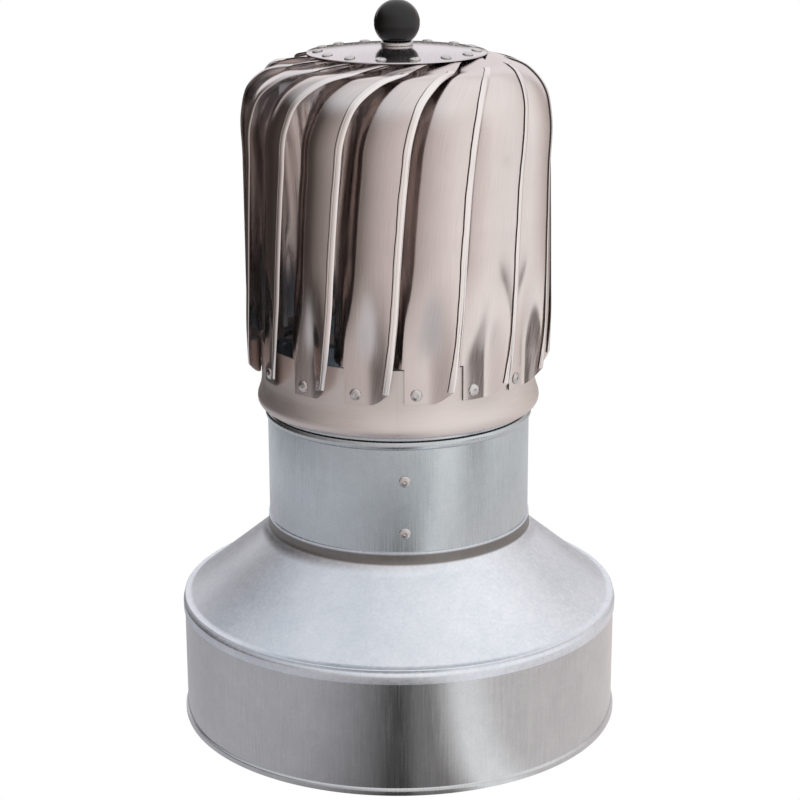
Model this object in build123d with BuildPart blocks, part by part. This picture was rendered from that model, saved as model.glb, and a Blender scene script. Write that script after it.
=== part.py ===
from build123d import *
from math import asin, atan2, cos, degrees, hypot, radians, sin, sqrt
import os

# Roof turbine ventilator: a vaned rotor on a ball-bearing shaft, over a galvanised neck, cone and base.
# Millimetres. Origin at the centre of the base's open foot, +Z up, -Y is the riveted front of the neck.
# Angles are azimuths seen from above, counted from -Y towards +X.

# ---- sheet and clearances ----------------------------------------------------------------------
galvanised = 0.7            # wall of base, cone and neck
stainless = 0.6             # wall of the vanes
seat_gap = 0.05             # between a curved sheet and what it lies on
slide_gap = 0.02            # shaft to bearing bore, bearing to housing
rivet_gap = 0.05            # shank to hole, all round

# ---- base and cone -----------------------------------------------------------------------------
base_radius = 125.0         # outside of the foot pipe, for a 250 flue
base_height = 69.3
foot_bead_height = 3.5
foot_bead_reach = 1.3
skirt_height = 5.1          # cone's turned-down skirt outside the foot pipe
groove_depth = 1.4
cone_foot_inset = 3.6         # from the foot pipe's outside to the slope
cone_foot_radius = base_radius - cone_foot_inset
cone_foot_height = 72.5
cone_slope_height = 38.0    # rise of the slope if it ran on to the collar
collar_bend_radius = 12.0
collar_top = 119.9

# ---- neck --------------------------------------------------------------------------------------
neck_radius = 74.4          # outside of the neck pipe, for a 150 flue
neck_foot = 106.0
neck_top = 219.0
neck_bead_low = 178.5
neck_bead_height = 4.7
neck_bead_reach = 1.4
seam_width = 6.0
seam_proud = 0.8
seam_root = 0.3             # how far the seam reaches into the wall

# ---- three-arm bearing bracket -----------------------------------------------------------------
arm_count = 3
arm_azimuth = 2.65
arm_width = 20.0
arm_thickness = 2.5
arm_top = 215.5
arm_foot = 122.0
arm_bend = 5.0
arm_inner_end = 13.0
arm_rivet_heights = (160.5, 130.7)
hub_radius = 14.0
hub_length = 48.0
hub_flange_radius = 24.5
hub_flange = 3.0
hub_bolt_circle = 19.0
hub_bolt_radius = 2.0
hub_bolt_head = 3.5         # radius of the head
hub_bolt_head_height = 2.8
hub_nut_width = 7.0
hub_nut_height = 3.2

# ---- bearings, 8 x 22 x 7 ----------------------------------------------------------------------
bearing_bore = 4.0
bearing_radius = 11.0
bearing_width = 7.0
inner_race_radius = 5.85
outer_race_bore = 9.15
ball_count = 7
ball_radius = 1.984
ball_gap = 0.05
cage_ring = 1.2
cage_height = 4.8
shield_thickness = 0.3
shield_depth = 0.15
shield_bore = 6.1
housing_shoulder = 1.8

# ---- shaft and what is on it -------------------------------------------------------------------
shaft_foot = 160.0
circlip_height = 1.1
circlip_radius = 6.2
groove_radius = 3.7
sleeve_radius = 5.8
collar_radius = 8.0
collar_height = 8.0
collar_boss = 0.5
grub_radius = 2.0
stud_radius = 3.0           # M6 through disc and knob
stud_length = 16.3
shaft_nut_width = 13.0
shaft_nut_height = 6.5
under_washer_radius = 9.5
under_washer = 1.5
top_washer_radius = 8.9
top_washer = 2.0
knob_radius = 12.5
knob_seat_radius = 7.5

# ---- rotor: ring and disc ----------------------------------------------------------------------
ring_radius = 77.3
ring_foot = 185.5
ring_top = 223.4
ring_lip_inset = 0.3
ring_lip_reach = 2.6
ring_lip_height = 4.5
ring_wall = 0.7
disc_radius = 49.35
disc_thickness = 0.8
disc_pad_radius = 10.0
disc_pad_top = 385.8
disc_dome_radius = 324.0
disc_rivet_circle = 43.3

# ---- rotor: vanes ------------------------------------------------------------------------------
vane_count = 15
hem_radius_foot = 87.4      # outer, hemmed edge where the vane starts
hem_radius_shoulder = 85.8  # and where the wall bends over
shoulder_height = 350.0
shoulder_bend = 28.8
vane_start = 203.5          # the sheet is trimmed above this
inner_radius = 65.4
vane_crown = 8.9            # bulge of the vane's section on the wall
vane_wall = (               # share of the wall's height, azimuth of the hem, of the inner edge
    (0.0, -4.6, -32.6),
    (0.167, -1.7, -32.0),
    (0.333, 0.0, -31.2),
    (0.567, 1.4, -29.8),
    (0.8, 3.2, -27.0),
    (1.0, 6.0, -23.0),
)
vane_shoulder = (           # bend, hem azimuth; inner edge radius, azimuth, drop below disc; bulge
    (30, 9.8, 64.5, -17.6, 14.4, 5.4),
    (55, 17.0, 61.5, -9.5, 6.6, 2.2),
    (80, 29.0, 53.5, 5.0, 4.4, 0.7),
)
vane_tip = (                # hem radius, azimuth, drop; inner edge radius, azimuth, drop; bulge
    (55.6, 35.5, 0.6, 45.5, 19.5, 2.0, 0.2),
    (50.9, 41.5, 0.35, 36.8, 30.4, 1.1, None),
    (47.2, 49.0, 0.3, 33.0, 40.5, 0.7, None),
)
hem_width = 3.8
vane_width = 48.0           # of the strip on the wall
vane_shares = (0, 0.17, 0.31, 0.42, 0.53, 0.76)
tab_heights = (210.0, 217.0, 224.3, 233.0, 242.0, 251.4)
wall_heights = (275.0, 300.0, 325.0)
hem_runout = (0.9, 0.15, 0.1, 0.1)  # share of the hem's thickness left at the last stations
tab_azimuth = -21.6         # left edge of the tab on the ring
tab_width = 9.0             # degrees of the tab that lie on the ring
tab_fold = 4.0              # degrees over which the sheet folds into the ring's curve
tab_gap = 0.4               # tab off the ring
tab_foot = 204.8
foot_rise = 219.5           # height of the foot's curve beyond the hem
foot_corner_in = 3.4        # middle of the foot's curve, inside the hem and below its end
foot_corner_drop = 6.5
tab_blend = 27.0            # height over which the tab opens into the full section
rim_clearance = 0.9
disc_gap = 0.25             # vane under disc

# ---- rivets ------------------------------------------------------------------------------------
rivet_head = 3.25
rivet_head_height = 1.1
rivet_shank = 1.6
rivet_tail = 2.4
rivet_tail_height = 1.5
ring_rivet_azimuth = -16.9
ring_rivet_drop = 13.4        # below the ring's rim
ring_rivet_height = ring_top - ring_rivet_drop
disc_rivet_azimuth = 36.8


def azimuth(angle):
    """Turns a part built towards -Y to this azimuth."""
    return Rot(0, 0, angle)


def at(radius, angle, height):
    return Vector(radius * sin(radians(angle)), -radius * cos(radians(angle)), height)


def smooth(t):
    t = min(max(t, 0), 1)
    return t * t * (3 - 2 * t)


# ---- derived heights ---------------------------------------------------------------------------
hub_top = arm_top - arm_thickness
hub_foot = hub_top - hub_length
upper_bearing = hub_top - bearing_width
lower_bearing = hub_foot
pitch_radius = (inner_race_radius + outer_race_bore) / 2
disc_pad_low = disc_pad_top - disc_thickness
under_washer_low = disc_pad_low - under_washer
shaft_top = under_washer_low
knob_seat = disc_pad_top + top_washer
knob_centre = knob_seat + sqrt(knob_radius**2 - knob_seat_radius**2)
dome_centre = disc_pad_top - sqrt(disc_dome_radius**2 - disc_pad_radius**2)


def disc_top(radius):
    """Height of the disc's upper face at a radius outside the flat pad."""
    return dome_centre + sqrt(disc_dome_radius**2 - radius**2)


def disc_under(radius):
    inner = disc_dome_radius - disc_thickness
    return dome_centre + sqrt(inner**2 - radius**2)


os.makedirs("parts", exist_ok=True)
RISING = (Align.CENTER, Align.CENTER, Align.MIN)


def save(part, name):
    part.label = name
    export_step(part, f"parts/{name}.step")


def outline(*points):
    """Closed outline of (radius, height) points, to be revolved about the vertical axis."""
    with BuildSketch(Plane.XZ) as section:
        with BuildLine():
            Polyline(*points, close=True)
        make_face()
    return section.sketch


# ---- base --------------------------------------------------------------------------------------
base_bore = base_radius - galvanised
with BuildPart() as base_collar:
    with BuildSketch(Plane.XZ) as foot_profile:
        with BuildLine():
            Polyline(
                (base_bore, 0),
                (base_radius + foot_bead_reach, 0),
                (base_radius + foot_bead_reach, foot_bead_height),
                (base_radius, foot_bead_height),
                (base_radius, base_height),
                (base_bore, base_height),
                close=True,
            )
        make_face()
        bead_edge = foot_profile.vertices().sort_by(Axis.X)[-2:]
        fillet(bead_edge, foot_bead_reach * 0.6)
    revolve(axis=Axis.Z)
    # lock seam of the rolled pipe, on the back
    with BuildSketch(Plane.XY.offset(foot_bead_height)) as base_seam:
        with Locations((0, base_radius + (seam_proud - seam_root) / 2)):
            Rectangle(seam_width, seam_proud + seam_root)
    extrude(amount=base_height - skirt_height - foot_bead_height - seat_gap)
save(base_collar.part, "base_collar")

skirt_radius = base_radius + seat_gap + galvanised
skirt_foot = base_height - skirt_height + 0.3
groove_out = skirt_radius - groove_depth
cone_collar = neck_radius + seat_gap + galvanised
cone_tilt = atan2(cone_slope_height, cone_foot_radius - cone_collar)
# centre of the bend that joins the slope to the upright collar, outside the sheet
bend_x = cone_collar + collar_bend_radius
bend_z = (
    cone_foot_height
    + (collar_bend_radius + (cone_foot_radius - bend_x) * sin(cone_tilt)) / cos(cone_tilt)
)


def cone_bend(radius, angle):
    return (bend_x - radius * sin(angle), bend_z - radius * cos(angle))


with BuildPart() as cone:
    with BuildSketch(Plane.XZ):
        with BuildLine():
            half_way = (cone_tilt + radians(90)) / 2
            inside = collar_bend_radius + galvanised
            Polyline(
                (skirt_radius - galvanised, skirt_foot),
                (skirt_radius, skirt_foot),
                (skirt_radius, base_height + 0.3),
                (groove_out, base_height + 1.6),
                (groove_out, base_height + 2.2),
                (groove_out + 0.5, base_height + 2.5),
                (groove_out + 0.5, cone_foot_height),
                (cone_foot_radius, cone_foot_height),
                cone_bend(collar_bend_radius, cone_tilt),
            )
            ThreePointArc(
                cone_bend(collar_bend_radius, cone_tilt),
                cone_bend(collar_bend_radius, half_way),
                (cone_collar, bend_z),
            )
            Polyline(
                (cone_collar, bend_z),
                (cone_collar, collar_top),
                (cone_collar - galvanised, collar_top),
                (cone_collar - galvanised, bend_z),
            )
            ThreePointArc(
                (cone_collar - galvanised, bend_z),
                cone_bend(inside, half_way),
                cone_bend(inside, cone_tilt),
            )
            Polyline(
                cone_bend(inside, cone_tilt),
                (cone_foot_radius - 0.25, cone_foot_height - galvanised),
                (groove_out - galvanised, cone_foot_height - galvanised),
                (groove_out - galvanised, base_height),
                (skirt_radius - galvanised, base_height),
                (skirt_radius - galvanised, skirt_foot),
            )
        make_face()
    revolve(axis=Axis.Z)
save(cone.part, "cone")

# ---- neck --------------------------------------------------------------------------------------
neck_bore = neck_radius - galvanised
bead_mid = neck_bead_low + neck_bead_height / 2
bead_high = neck_bead_low + neck_bead_height
with BuildPart() as neck_pipe:
    with BuildSketch(Plane.XZ):
        with BuildLine():
            Polyline((neck_radius, neck_bead_low), (neck_radius, neck_foot), (neck_bore, neck_foot),
                     (neck_bore, neck_bead_low))
            ThreePointArc(
                (neck_bore, neck_bead_low), (neck_bore + neck_bead_reach, bead_mid), (neck_bore, bead_high)
            )
            Polyline((neck_bore, bead_high), (neck_bore, neck_top), (neck_radius, neck_top),
                     (neck_radius, bead_high))
            ThreePointArc(
                (neck_radius, bead_high), (neck_radius + neck_bead_reach, bead_mid),
                (neck_radius, neck_bead_low),
            )
        make_face()
    revolve(axis=Axis.Z)
    with BuildSketch(Plane.XY.offset(collar_top + 1)):
        with Locations((0, neck_radius + (seam_proud - seam_root) / 2)):
            Rectangle(seam_width, seam_proud + seam_root)
    extrude(amount=neck_bead_low - 1 - collar_top)
    for arm in range(arm_count):
        for height in arm_rivet_heights:
            angle = arm_azimuth + arm * 360 / arm_count
            with Locations(azimuth(angle) * Pos(0, -neck_radius, height) * Rot(90, 0, 0)):
                Cylinder(rivet_shank + rivet_gap, 4 * galvanised, mode=Mode.SUBTRACT)
save(neck_pipe.part, "neck_pipe")

# ---- bearing bracket: three bent straps from the neck wall to the hub ----------------------------
# flat strap in the round pipe: its two long edges touch the bore
leg_out = sqrt((neck_bore - seat_gap) ** 2 - (arm_width / 2) ** 2)
leg_in = leg_out - arm_thickness
for arm in range(arm_count):
    turn = azimuth(arm_azimuth + arm * 360 / arm_count)
    with BuildPart() as bracket_arm:
        with BuildSketch(Plane.YZ) as strap:
            with BuildLine():
                FilletPolyline(
                    (-arm_inner_end, arm_top),
                    (-leg_out, arm_top),
                    (-leg_out, arm_foot),
                    radius=arm_bend,
                )
                FilletPolyline(
                    (-arm_inner_end, hub_top),
                    (-leg_in, hub_top),
                    (-leg_in, arm_foot),
                    radius=arm_bend - arm_thickness,
                )
                Line((-arm_inner_end, arm_top), (-arm_inner_end, hub_top))
                Line((-leg_out, arm_foot), (-leg_in, arm_foot))
            make_face()
        extrude(amount=arm_width / 2, both=True)
        with Locations((0, -hub_bolt_circle, hub_top)):
            Cylinder(hub_bolt_radius + rivet_gap, 4 * arm_thickness, mode=Mode.SUBTRACT)
        for height in arm_rivet_heights:
            with Locations(Pos(0, -leg_out, height) * Rot(90, 0, 0)):
                Cylinder(rivet_shank + rivet_gap, 4 * arm_thickness, mode=Mode.SUBTRACT)
    save(turn * bracket_arm.part, f"bracket_arm_{arm + 1}")

    with BuildPart() as bracket_rivets:
        for height in arm_rivet_heights:
            with Locations(Pos(0, -neck_radius, height) * Rot(90, 0, 0)):
                Cylinder(rivet_head, rivet_head_height, align=RISING)
                head_rim = bracket_rivets.edges().sort_by(Axis.Y)[0]
                fillet(head_rim, rivet_head_height * 0.7)
        for height in arm_rivet_heights:
            with Locations(Pos(0, -neck_radius, height) * Rot(-90, 0, 0)):
                Cylinder(rivet_shank, neck_radius - leg_in, align=RISING)
            with Locations(Pos(0, -leg_in, height) * Rot(-90, 0, 0)):
                Cylinder(rivet_tail, rivet_tail_height, align=RISING)
    save(turn * bracket_rivets.part, f"bracket_rivets_{arm + 1}")

    with BuildPart() as hub_bolt:
        with BuildSketch(Plane.XY.offset(arm_top)):
            with Locations((0, -hub_bolt_circle)):
                Circle(hub_bolt_head)
                RegularPolygon(hub_bolt_radius * 0.75, 6, mode=Mode.SUBTRACT)
        extrude(amount=hub_bolt_head_height)
        with BuildSketch(Plane.XY.offset(arm_top + hub_bolt_head_height / 2)):
            with Locations((0, -hub_bolt_circle)):
                Circle(hub_bolt_head)
        extrude(amount=-hub_bolt_head_height / 2)
        with BuildSketch(Plane.XY.offset(arm_top)):
            with Locations((0, -hub_bolt_circle)):
                Circle(hub_bolt_radius)
        extrude(amount=-(arm_thickness + hub_flange + hub_nut_height + 1))
    save(turn * hub_bolt.part, f"hub_bolt_{arm + 1}")

    with BuildPart() as hub_nut:
        with BuildSketch(Plane.XY.offset(hub_top - hub_flange)):
            with Locations((0, -hub_bolt_circle)):
                RegularPolygon(hub_nut_width / 2, 6, major_radius=False)
                Circle(hub_bolt_radius + rivet_gap, mode=Mode.SUBTRACT)
        extrude(amount=-hub_nut_height)
    save(turn * hub_nut.part, f"hub_nut_{arm + 1}")

with BuildPart() as bearing_hub:
    profile = outline(
        (bearing_radius + slide_gap, hub_foot),
        (hub_radius, hub_foot),
        (hub_radius, hub_top - hub_flange),
        (hub_flange_radius, hub_top - hub_flange),
        (hub_flange_radius, hub_top),
        (bearing_radius + slide_gap, hub_top),
        (bearing_radius + slide_gap, upper_bearing),
        (bearing_radius - housing_shoulder, upper_bearing),
        (bearing_radius - housing_shoulder, lower_bearing + bearing_width),
        (bearing_radius + slide_gap, lower_bearing + bearing_width),
    )
    revolve(profile, axis=Axis.Z)
    with BuildSketch(Plane.XY.offset(hub_top)):
        for arm in range(arm_count):
            with Locations(azimuth(arm_azimuth + arm * 360 / arm_count)):
                with Locations((0, -hub_bolt_circle)):
                    Circle(hub_bolt_radius + rivet_gap)
    extrude(amount=-hub_flange, mode=Mode.SUBTRACT)
save(bearing_hub.part, "bearing_hub")

# ---- two deep-groove bearings --------------------------------------------------------------------
groove = ball_radius + ball_gap
for name, foot in (("lower", lower_bearing), ("upper", upper_bearing)):
    middle = foot + bearing_width / 2
    with BuildPart() as outer_race:
        profile = outline(
            (outer_race_bore, foot),
            (bearing_radius, foot),
            (bearing_radius, foot + bearing_width),
            (outer_race_bore, foot + bearing_width),
        )
        revolve(profile, axis=Axis.Z)
        with Locations((0, 0, middle)):
            Torus(pitch_radius, groove, mode=Mode.SUBTRACT)
    save(outer_race.part, f"{name}_outer_race")

    with BuildPart() as inner_race:
        profile = outline(
            (bearing_bore + slide_gap, foot),
            (inner_race_radius, foot),
            (inner_race_radius, foot + bearing_width),
            (bearing_bore + slide_gap, foot + bearing_width),
        )
        revolve(profile, axis=Axis.Z)
        with Locations((0, 0, middle)):
            Torus(pitch_radius, groove, mode=Mode.SUBTRACT)
    save(inner_race.part, f"{name}_inner_race")

    with BuildPart() as cage:
        profile = outline(
            (pitch_radius - cage_ring / 2, middle - cage_height / 2),
            (pitch_radius + cage_ring / 2, middle - cage_height / 2),
            (pitch_radius + cage_ring / 2, middle + cage_height / 2),
            (pitch_radius - cage_ring / 2, middle + cage_height / 2),
        )
        revolve(profile, axis=Axis.Z)
        for ball in range(ball_count):
            turn = azimuth(90 + ball * 360 / ball_count)
            with Locations(turn * Pos(0, -pitch_radius, middle) * Rot(90, 0, 0)):
                Cylinder(groove, 3 * cage_ring, mode=Mode.SUBTRACT)
    save(cage.part, f"{name}_cage")

    with BuildPart() as balls:
        with Locations((0, 0, middle)):
            with PolarLocations(pitch_radius, ball_count):
                Sphere(ball_radius)
    save(balls.part, f"{name}_balls")

    with BuildPart() as shields:
        for low in (foot + shield_depth, foot + bearing_width - shield_depth - shield_thickness):
            with BuildSketch(Plane.XY.offset(low)):
                Circle(outer_race_bore - slide_gap)
                Circle(shield_bore, mode=Mode.SUBTRACT)
            extrude(amount=shield_thickness)
    save(shields.part, f"{name}_shields")

# ---- shaft and its fittings ----------------------------------------------------------------------
circlip_low = lower_bearing - circlip_height
with BuildPart() as shaft:
    profile = outline(
        (0, shaft_foot),
        (bearing_bore - 0.6, shaft_foot),
        (bearing_bore, shaft_foot + 0.6),
        (bearing_bore, circlip_low - slide_gap),
        (groove_radius, circlip_low - slide_gap),
        (groove_radius, lower_bearing),
        (bearing_bore, lower_bearing),
        (bearing_bore, shaft_top),
        (stud_radius, shaft_top),
        (stud_radius, shaft_top + stud_length - 0.5),
        (stud_radius - 0.5, shaft_top + stud_length),
        (0, shaft_top + stud_length),
    )
    revolve(profile, axis=Axis.Z)
save(shaft.part, "shaft")

with BuildPart() as circlip:
    with BuildSketch(Plane.XY.offset(circlip_low)):
        Circle(circlip_radius)
        Circle(groove_radius + rivet_gap, mode=Mode.SUBTRACT)
        with Locations((0, -circlip_radius)):
            Rectangle(groove_radius, circlip_radius, mode=Mode.SUBTRACT)
    extrude(amount=circlip_height)
save(circlip.part, "circlip")

with BuildPart() as spacer_sleeve:
    with BuildSketch(Plane.XY.offset(lower_bearing + bearing_width)):
        Circle(sleeve_radius)
        Circle(bearing_bore + rivet_gap, mode=Mode.SUBTRACT)
    extrude(amount=upper_bearing - lower_bearing - bearing_width)
save(spacer_sleeve.part, "spacer_sleeve")

grub_height = hub_top + collar_boss + collar_height / 2
with BuildPart() as set_collar:
    profile = outline(
        (bearing_bore + slide_gap, hub_top),
        (inner_race_radius - 0.4, hub_top),
        (inner_race_radius - 0.4, hub_top + collar_boss),
        (collar_radius, hub_top + collar_boss),
        (collar_radius, hub_top + collar_boss + collar_height),
        (bearing_bore + slide_gap, hub_top + collar_boss + collar_height),
    )
    revolve(profile, axis=Axis.Z)
    with Locations(Pos(0, -collar_radius, grub_height) * Rot(90, 0, 0)):
        Cylinder(grub_radius + rivet_gap, 2 * (collar_radius - bearing_bore) + 1, mode=Mode.SUBTRACT)
save(set_collar.part, "set_collar")

with BuildPart() as grub_screw:
    with BuildSketch(Plane.XZ.offset(bearing_bore + slide_gap)):
        with Locations((0, grub_height)):
            Circle(grub_radius)
    extrude(amount=collar_radius - bearing_bore - 0.2)
    with BuildSketch(Plane.XZ.offset(collar_radius - 1.5)):
        with Locations((0, grub_height)):
            RegularPolygon(grub_radius / 2, 6)
    extrude(amount=2, mode=Mode.SUBTRACT)
save(grub_screw.part, "grub_screw")

with BuildPart() as shaft_nut:
    with BuildSketch(Plane.XY.offset(shaft_top - shaft_nut_height)):
        RegularPolygon(shaft_nut_width / 2, 6, major_radius=False)
        Circle(bearing_bore + rivet_gap, mode=Mode.SUBTRACT)
    extrude(amount=shaft_nut_height)
save(shaft_nut.part, "shaft_nut")

for name, low, outside, height in (
    ("under_washer", under_washer_low, under_washer_radius, under_washer),
    ("top_washer", disc_pad_top, top_washer_radius, top_washer),
):
    with BuildPart() as washer:
        with BuildSketch(Plane.XY.offset(low)):
            Circle(outside)
            Circle(stud_radius + rivet_gap, mode=Mode.SUBTRACT)
        extrude(amount=height)
    save(washer.part, name)

with BuildPart() as ball_knob:
    with Locations((0, 0, knob_centre)):
        Sphere(knob_radius)
    split(bisect_by=Plane.XY.offset(knob_seat), keep=Keep.TOP)
    with BuildSketch(Plane.XY.offset(knob_seat)):
        Circle(stud_radius + rivet_gap)
    extrude(amount=shaft_top + stud_length + 1 - knob_seat, mode=Mode.SUBTRACT)
save(ball_knob.part, "ball_knob")

# ---- rotor: ring and disc ------------------------------------------------------------------------
def ring_line(shift):
    """The ring's wall from rim to lip, as (radius, height), moved inwards by shift."""
    wall = ring_radius - shift
    return (
        (wall, ring_top),
        (wall, ring_foot + 3.2 * ring_lip_height),
        (wall + 0.3 * ring_lip_reach, ring_foot + 2.4 * ring_lip_height),
        (wall + 0.75 * ring_lip_reach, ring_foot + 1.7 * ring_lip_height),
        (wall + ring_lip_reach, ring_foot + ring_lip_height),
        (wall + 0.55 * ring_lip_reach, ring_foot + 0.3 * ring_lip_height),
        (wall - ring_lip_inset + shift * 0.4, ring_foot),
    )


with BuildPart() as rotor_ring:
    with BuildSketch(Plane.XZ):
        with BuildLine():
            outer = ring_line(0)
            inner = ring_line(ring_wall)
            Line(outer[0], outer[1])
            Spline(*outer[1:], tangents=((0, -1), (-0.8, -0.6)))
            Line(outer[-1], inner[-1])
            Spline(*inner[1:], tangents=((0, -1), (-0.8, -0.6)))
            Line(inner[1], inner[0])
            Line(inner[0], outer[0])
        make_face()
    revolve(axis=Axis.Z)
    for vane in range(vane_count):
        turn = azimuth(ring_rivet_azimuth + vane * 360 / vane_count)
        with Locations(turn * Pos(0, -ring_radius, ring_rivet_height) * Rot(90, 0, 0)):
            Cylinder(rivet_shank + rivet_gap, 5 * ring_wall, mode=Mode.SUBTRACT)
save(rotor_ring.part, "rotor_ring")


def disc_rivet_place(vane):
    """On the dome at a disc rivet, Z square to the sheet."""
    tilt = degrees(asin(disc_rivet_circle / disc_dome_radius))
    turn = azimuth(disc_rivet_azimuth + vane * 360 / vane_count)
    return turn * Pos(0, -disc_rivet_circle, disc_top(disc_rivet_circle)) * Rot(tilt, 0, 0)


with BuildPart() as top_disc:
    with BuildSketch(Plane.XZ):
        with BuildLine():
            pad = disc_pad_radius
            rim = disc_radius
            half = (pad + rim) / 2
            Polyline((pad, disc_pad_top), (stud_radius + rivet_gap, disc_pad_top),
                     (stud_radius + rivet_gap, disc_pad_low), (pad, disc_pad_low))
            ThreePointArc((pad, disc_pad_low), (half, disc_under(half)), (rim, disc_under(rim)))
            Line((rim, disc_under(rim)), (rim, disc_top(rim)))
            ThreePointArc((rim, disc_top(rim)), (half, disc_top(half)), (pad, disc_pad_top))
        make_face()
    revolve(axis=Axis.Z)
    for vane in range(vane_count):
        with Locations(disc_rivet_place(vane)):
            Cylinder(rivet_shank + rivet_gap, 5 * disc_thickness, mode=Mode.SUBTRACT)
save(top_disc.part, "top_disc")


# ---- rotor: vanes --------------------------------------------------------------------------------
# A vane is a strip of sheet, lofted through stations across it, from its inner edge to its hemmed
# outer edge: up the wall, over the shoulder, and in under the disc.
def wall_azimuths(share):
    """Azimuths of hem and inner edge at a share of the wall's height."""
    for low, high in zip(vane_wall, vane_wall[1:]):
        if share <= high[0]:
            part = (share - low[0]) / (high[0] - low[0])
            return low[1] + part * (high[1] - low[1]), low[2] + part * (high[2] - low[2])


def vane_stations():
    """Hem point, inner point and bulge of each station, from the foot to the tip."""
    stations = []
    for height in (vane_start, *tab_heights, *wall_heights, shoulder_height):
        share = (height - vane_start) / (shoulder_height - vane_start)
        hem_azimuth, inner_azimuth = wall_azimuths(share)
        hem_radius = hem_radius_foot + share * (hem_radius_shoulder - hem_radius_foot)
        hem = at(hem_radius - stainless, hem_azimuth, height)
        stations.append((hem, at(inner_radius, inner_azimuth, height), vane_crown))
    centre = hem_radius_shoulder - shoulder_bend
    bend_radius = shoulder_bend - stainless
    for bend, hem_azimuth, radius, angle, drop, bulge in vane_shoulder:
        hem = at(centre + bend_radius * cos(radians(bend)), hem_azimuth,
                 shoulder_height + bend_radius * sin(radians(bend)))
        stations.append((hem, at(radius, angle, disc_under(radius) - drop), bulge))
    for hem_radius, hem_azimuth, hem_drop, radius, angle, drop, bulge in vane_tip:
        hem = at(hem_radius, hem_azimuth, disc_under(hem_radius) - hem_drop)
        inner = at(radius, angle, disc_under(radius) - drop)
        if bulge is None:  # the middle lies against the disc
            middle = (hem + inner) / 2
            bulge = disc_under(hypot(middle.X, middle.Y)) - disc_gap - middle.Z
        stations.append((hem, inner, bulge))
    return stations


def lay_on_ring(point):
    """Pulls the foot of the vane onto the ring, where its tab is riveted."""
    radius = hypot(point.X, point.Y)
    angle = degrees(atan2(point.X, -point.Y))
    hold = 1 - smooth((point.Z - ring_top - rim_clearance) / tab_blend)
    seat = ring_radius + tab_gap + stainless
    fold = smooth((angle - tab_azimuth) / tab_fold + 1)
    rise = smooth((angle - tab_azimuth - tab_width) / (vane_wall[1][1] - tab_azimuth - tab_width))
    return at(radius + (seat - radius) * fold * (1 - rise) * hold, angle, point.Z)


def across_vane(index, shares, depth):
    """Points across a station, at this depth below the outer face, and the station's plane."""
    stations = vane_stations()
    hem, inner, bulge = stations[index]
    before = stations[max(index - 1, 0)]
    after = stations[min(index + 1, len(stations) - 1)]
    across = hem - inner
    along = after[0] + after[1] - before[0] - before[1]
    if hem.Z == inner.Z:  # level stations on the wall
        along = Vector(0, 0, 1)
    outward = across.cross(along).normalized()
    plane = Plane(origin=inner, x_dir=across, z_dir=across.cross(outward))

    def face_point(share):
        return lay_on_ring(inner + across * share + outward * (4 * bulge * share * (1 - share)))

    points = []
    for share in shares:
        here = plane.to_local_coords(face_point(share))
        slope = plane.to_local_coords(face_point(share + 0.01)) - plane.to_local_coords(face_point(share - 0.01))
        turn = hypot(slope.X, slope.Y)
        points.append((here.X + slope.Y / turn * depth, here.Y - slope.X / turn * depth))
    return points, plane


hem_start = 1 - hem_width / vane_width
hem_shares = (hem_start, (1 + hem_start) / 2, 1)
vane_sections = []
for index in range(len(vane_stations())):
    # the hem is a second thickness on the outside, and runs out over the tip
    left = len(vane_stations()) - index
    fold = stainless * (hem_runout[-left] if left <= len(hem_runout) else 1)
    face, plane = across_vane(index, (*vane_shares, hem_start), 0)
    hem_face, plane = across_vane(index, hem_shares, -fold)
    back, plane = across_vane(index, (*vane_shares, 1), stainless)
    with BuildSketch(plane) as section:
        with BuildLine():
            Spline(*face)
            Line(face[-1], hem_face[0])
            Spline(*hem_face)
            Line(hem_face[-1], back[-1])
            Spline(*reversed(back))
            Line(back[0], face[0])
        make_face()
    vane_sections.append(section.sketch)

with BuildPart() as sheet:
    loft(vane_sections)
    # below the ring's rim only the tab is left
    with Locations(azimuth(tab_azimuth) * Pos(0, 0, ring_top + rim_clearance)):
        Box(2 * ring_radius, 2 * ring_radius, 2 * ring_top,
            align=(Align.MAX, Align.CENTER, Align.MAX), mode=Mode.SUBTRACT)
    # rounded foot, rising from the tab to the hem
    with BuildSketch(Plane.XZ):
        with BuildLine():
            seat = ring_radius + tab_gap
            far = hem_radius_foot + 3
            Polyline((far, foot_rise), (far, vane_start - 5), (seat - 5, vane_start - 5),
                     (seat - 5, tab_foot), (seat + 1.2, tab_foot))
            ThreePointArc((seat + 1.2, tab_foot), (hem_radius_foot - foot_corner_in, foot_rise - foot_corner_drop),
                          (far, foot_rise))
        make_face()
    revolve(axis=Axis.Z, mode=Mode.SUBTRACT)
    with Locations(azimuth(ring_rivet_azimuth) * Pos(0, -ring_radius, ring_rivet_height) * Rot(90, 0, 0)):
        Cylinder(rivet_shank + rivet_gap, 5 * ring_wall, mode=Mode.SUBTRACT)
    with Locations(disc_rivet_place(0)):
        Cylinder(rivet_shank + rivet_gap, 8 * stainless, mode=Mode.SUBTRACT)

for vane in range(vane_count):
    with BuildPart() as blade:
        add(azimuth(vane * 360 / vane_count) * sheet.part)
    save(blade.part, f"blade_{vane + 1:02d}")

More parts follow.
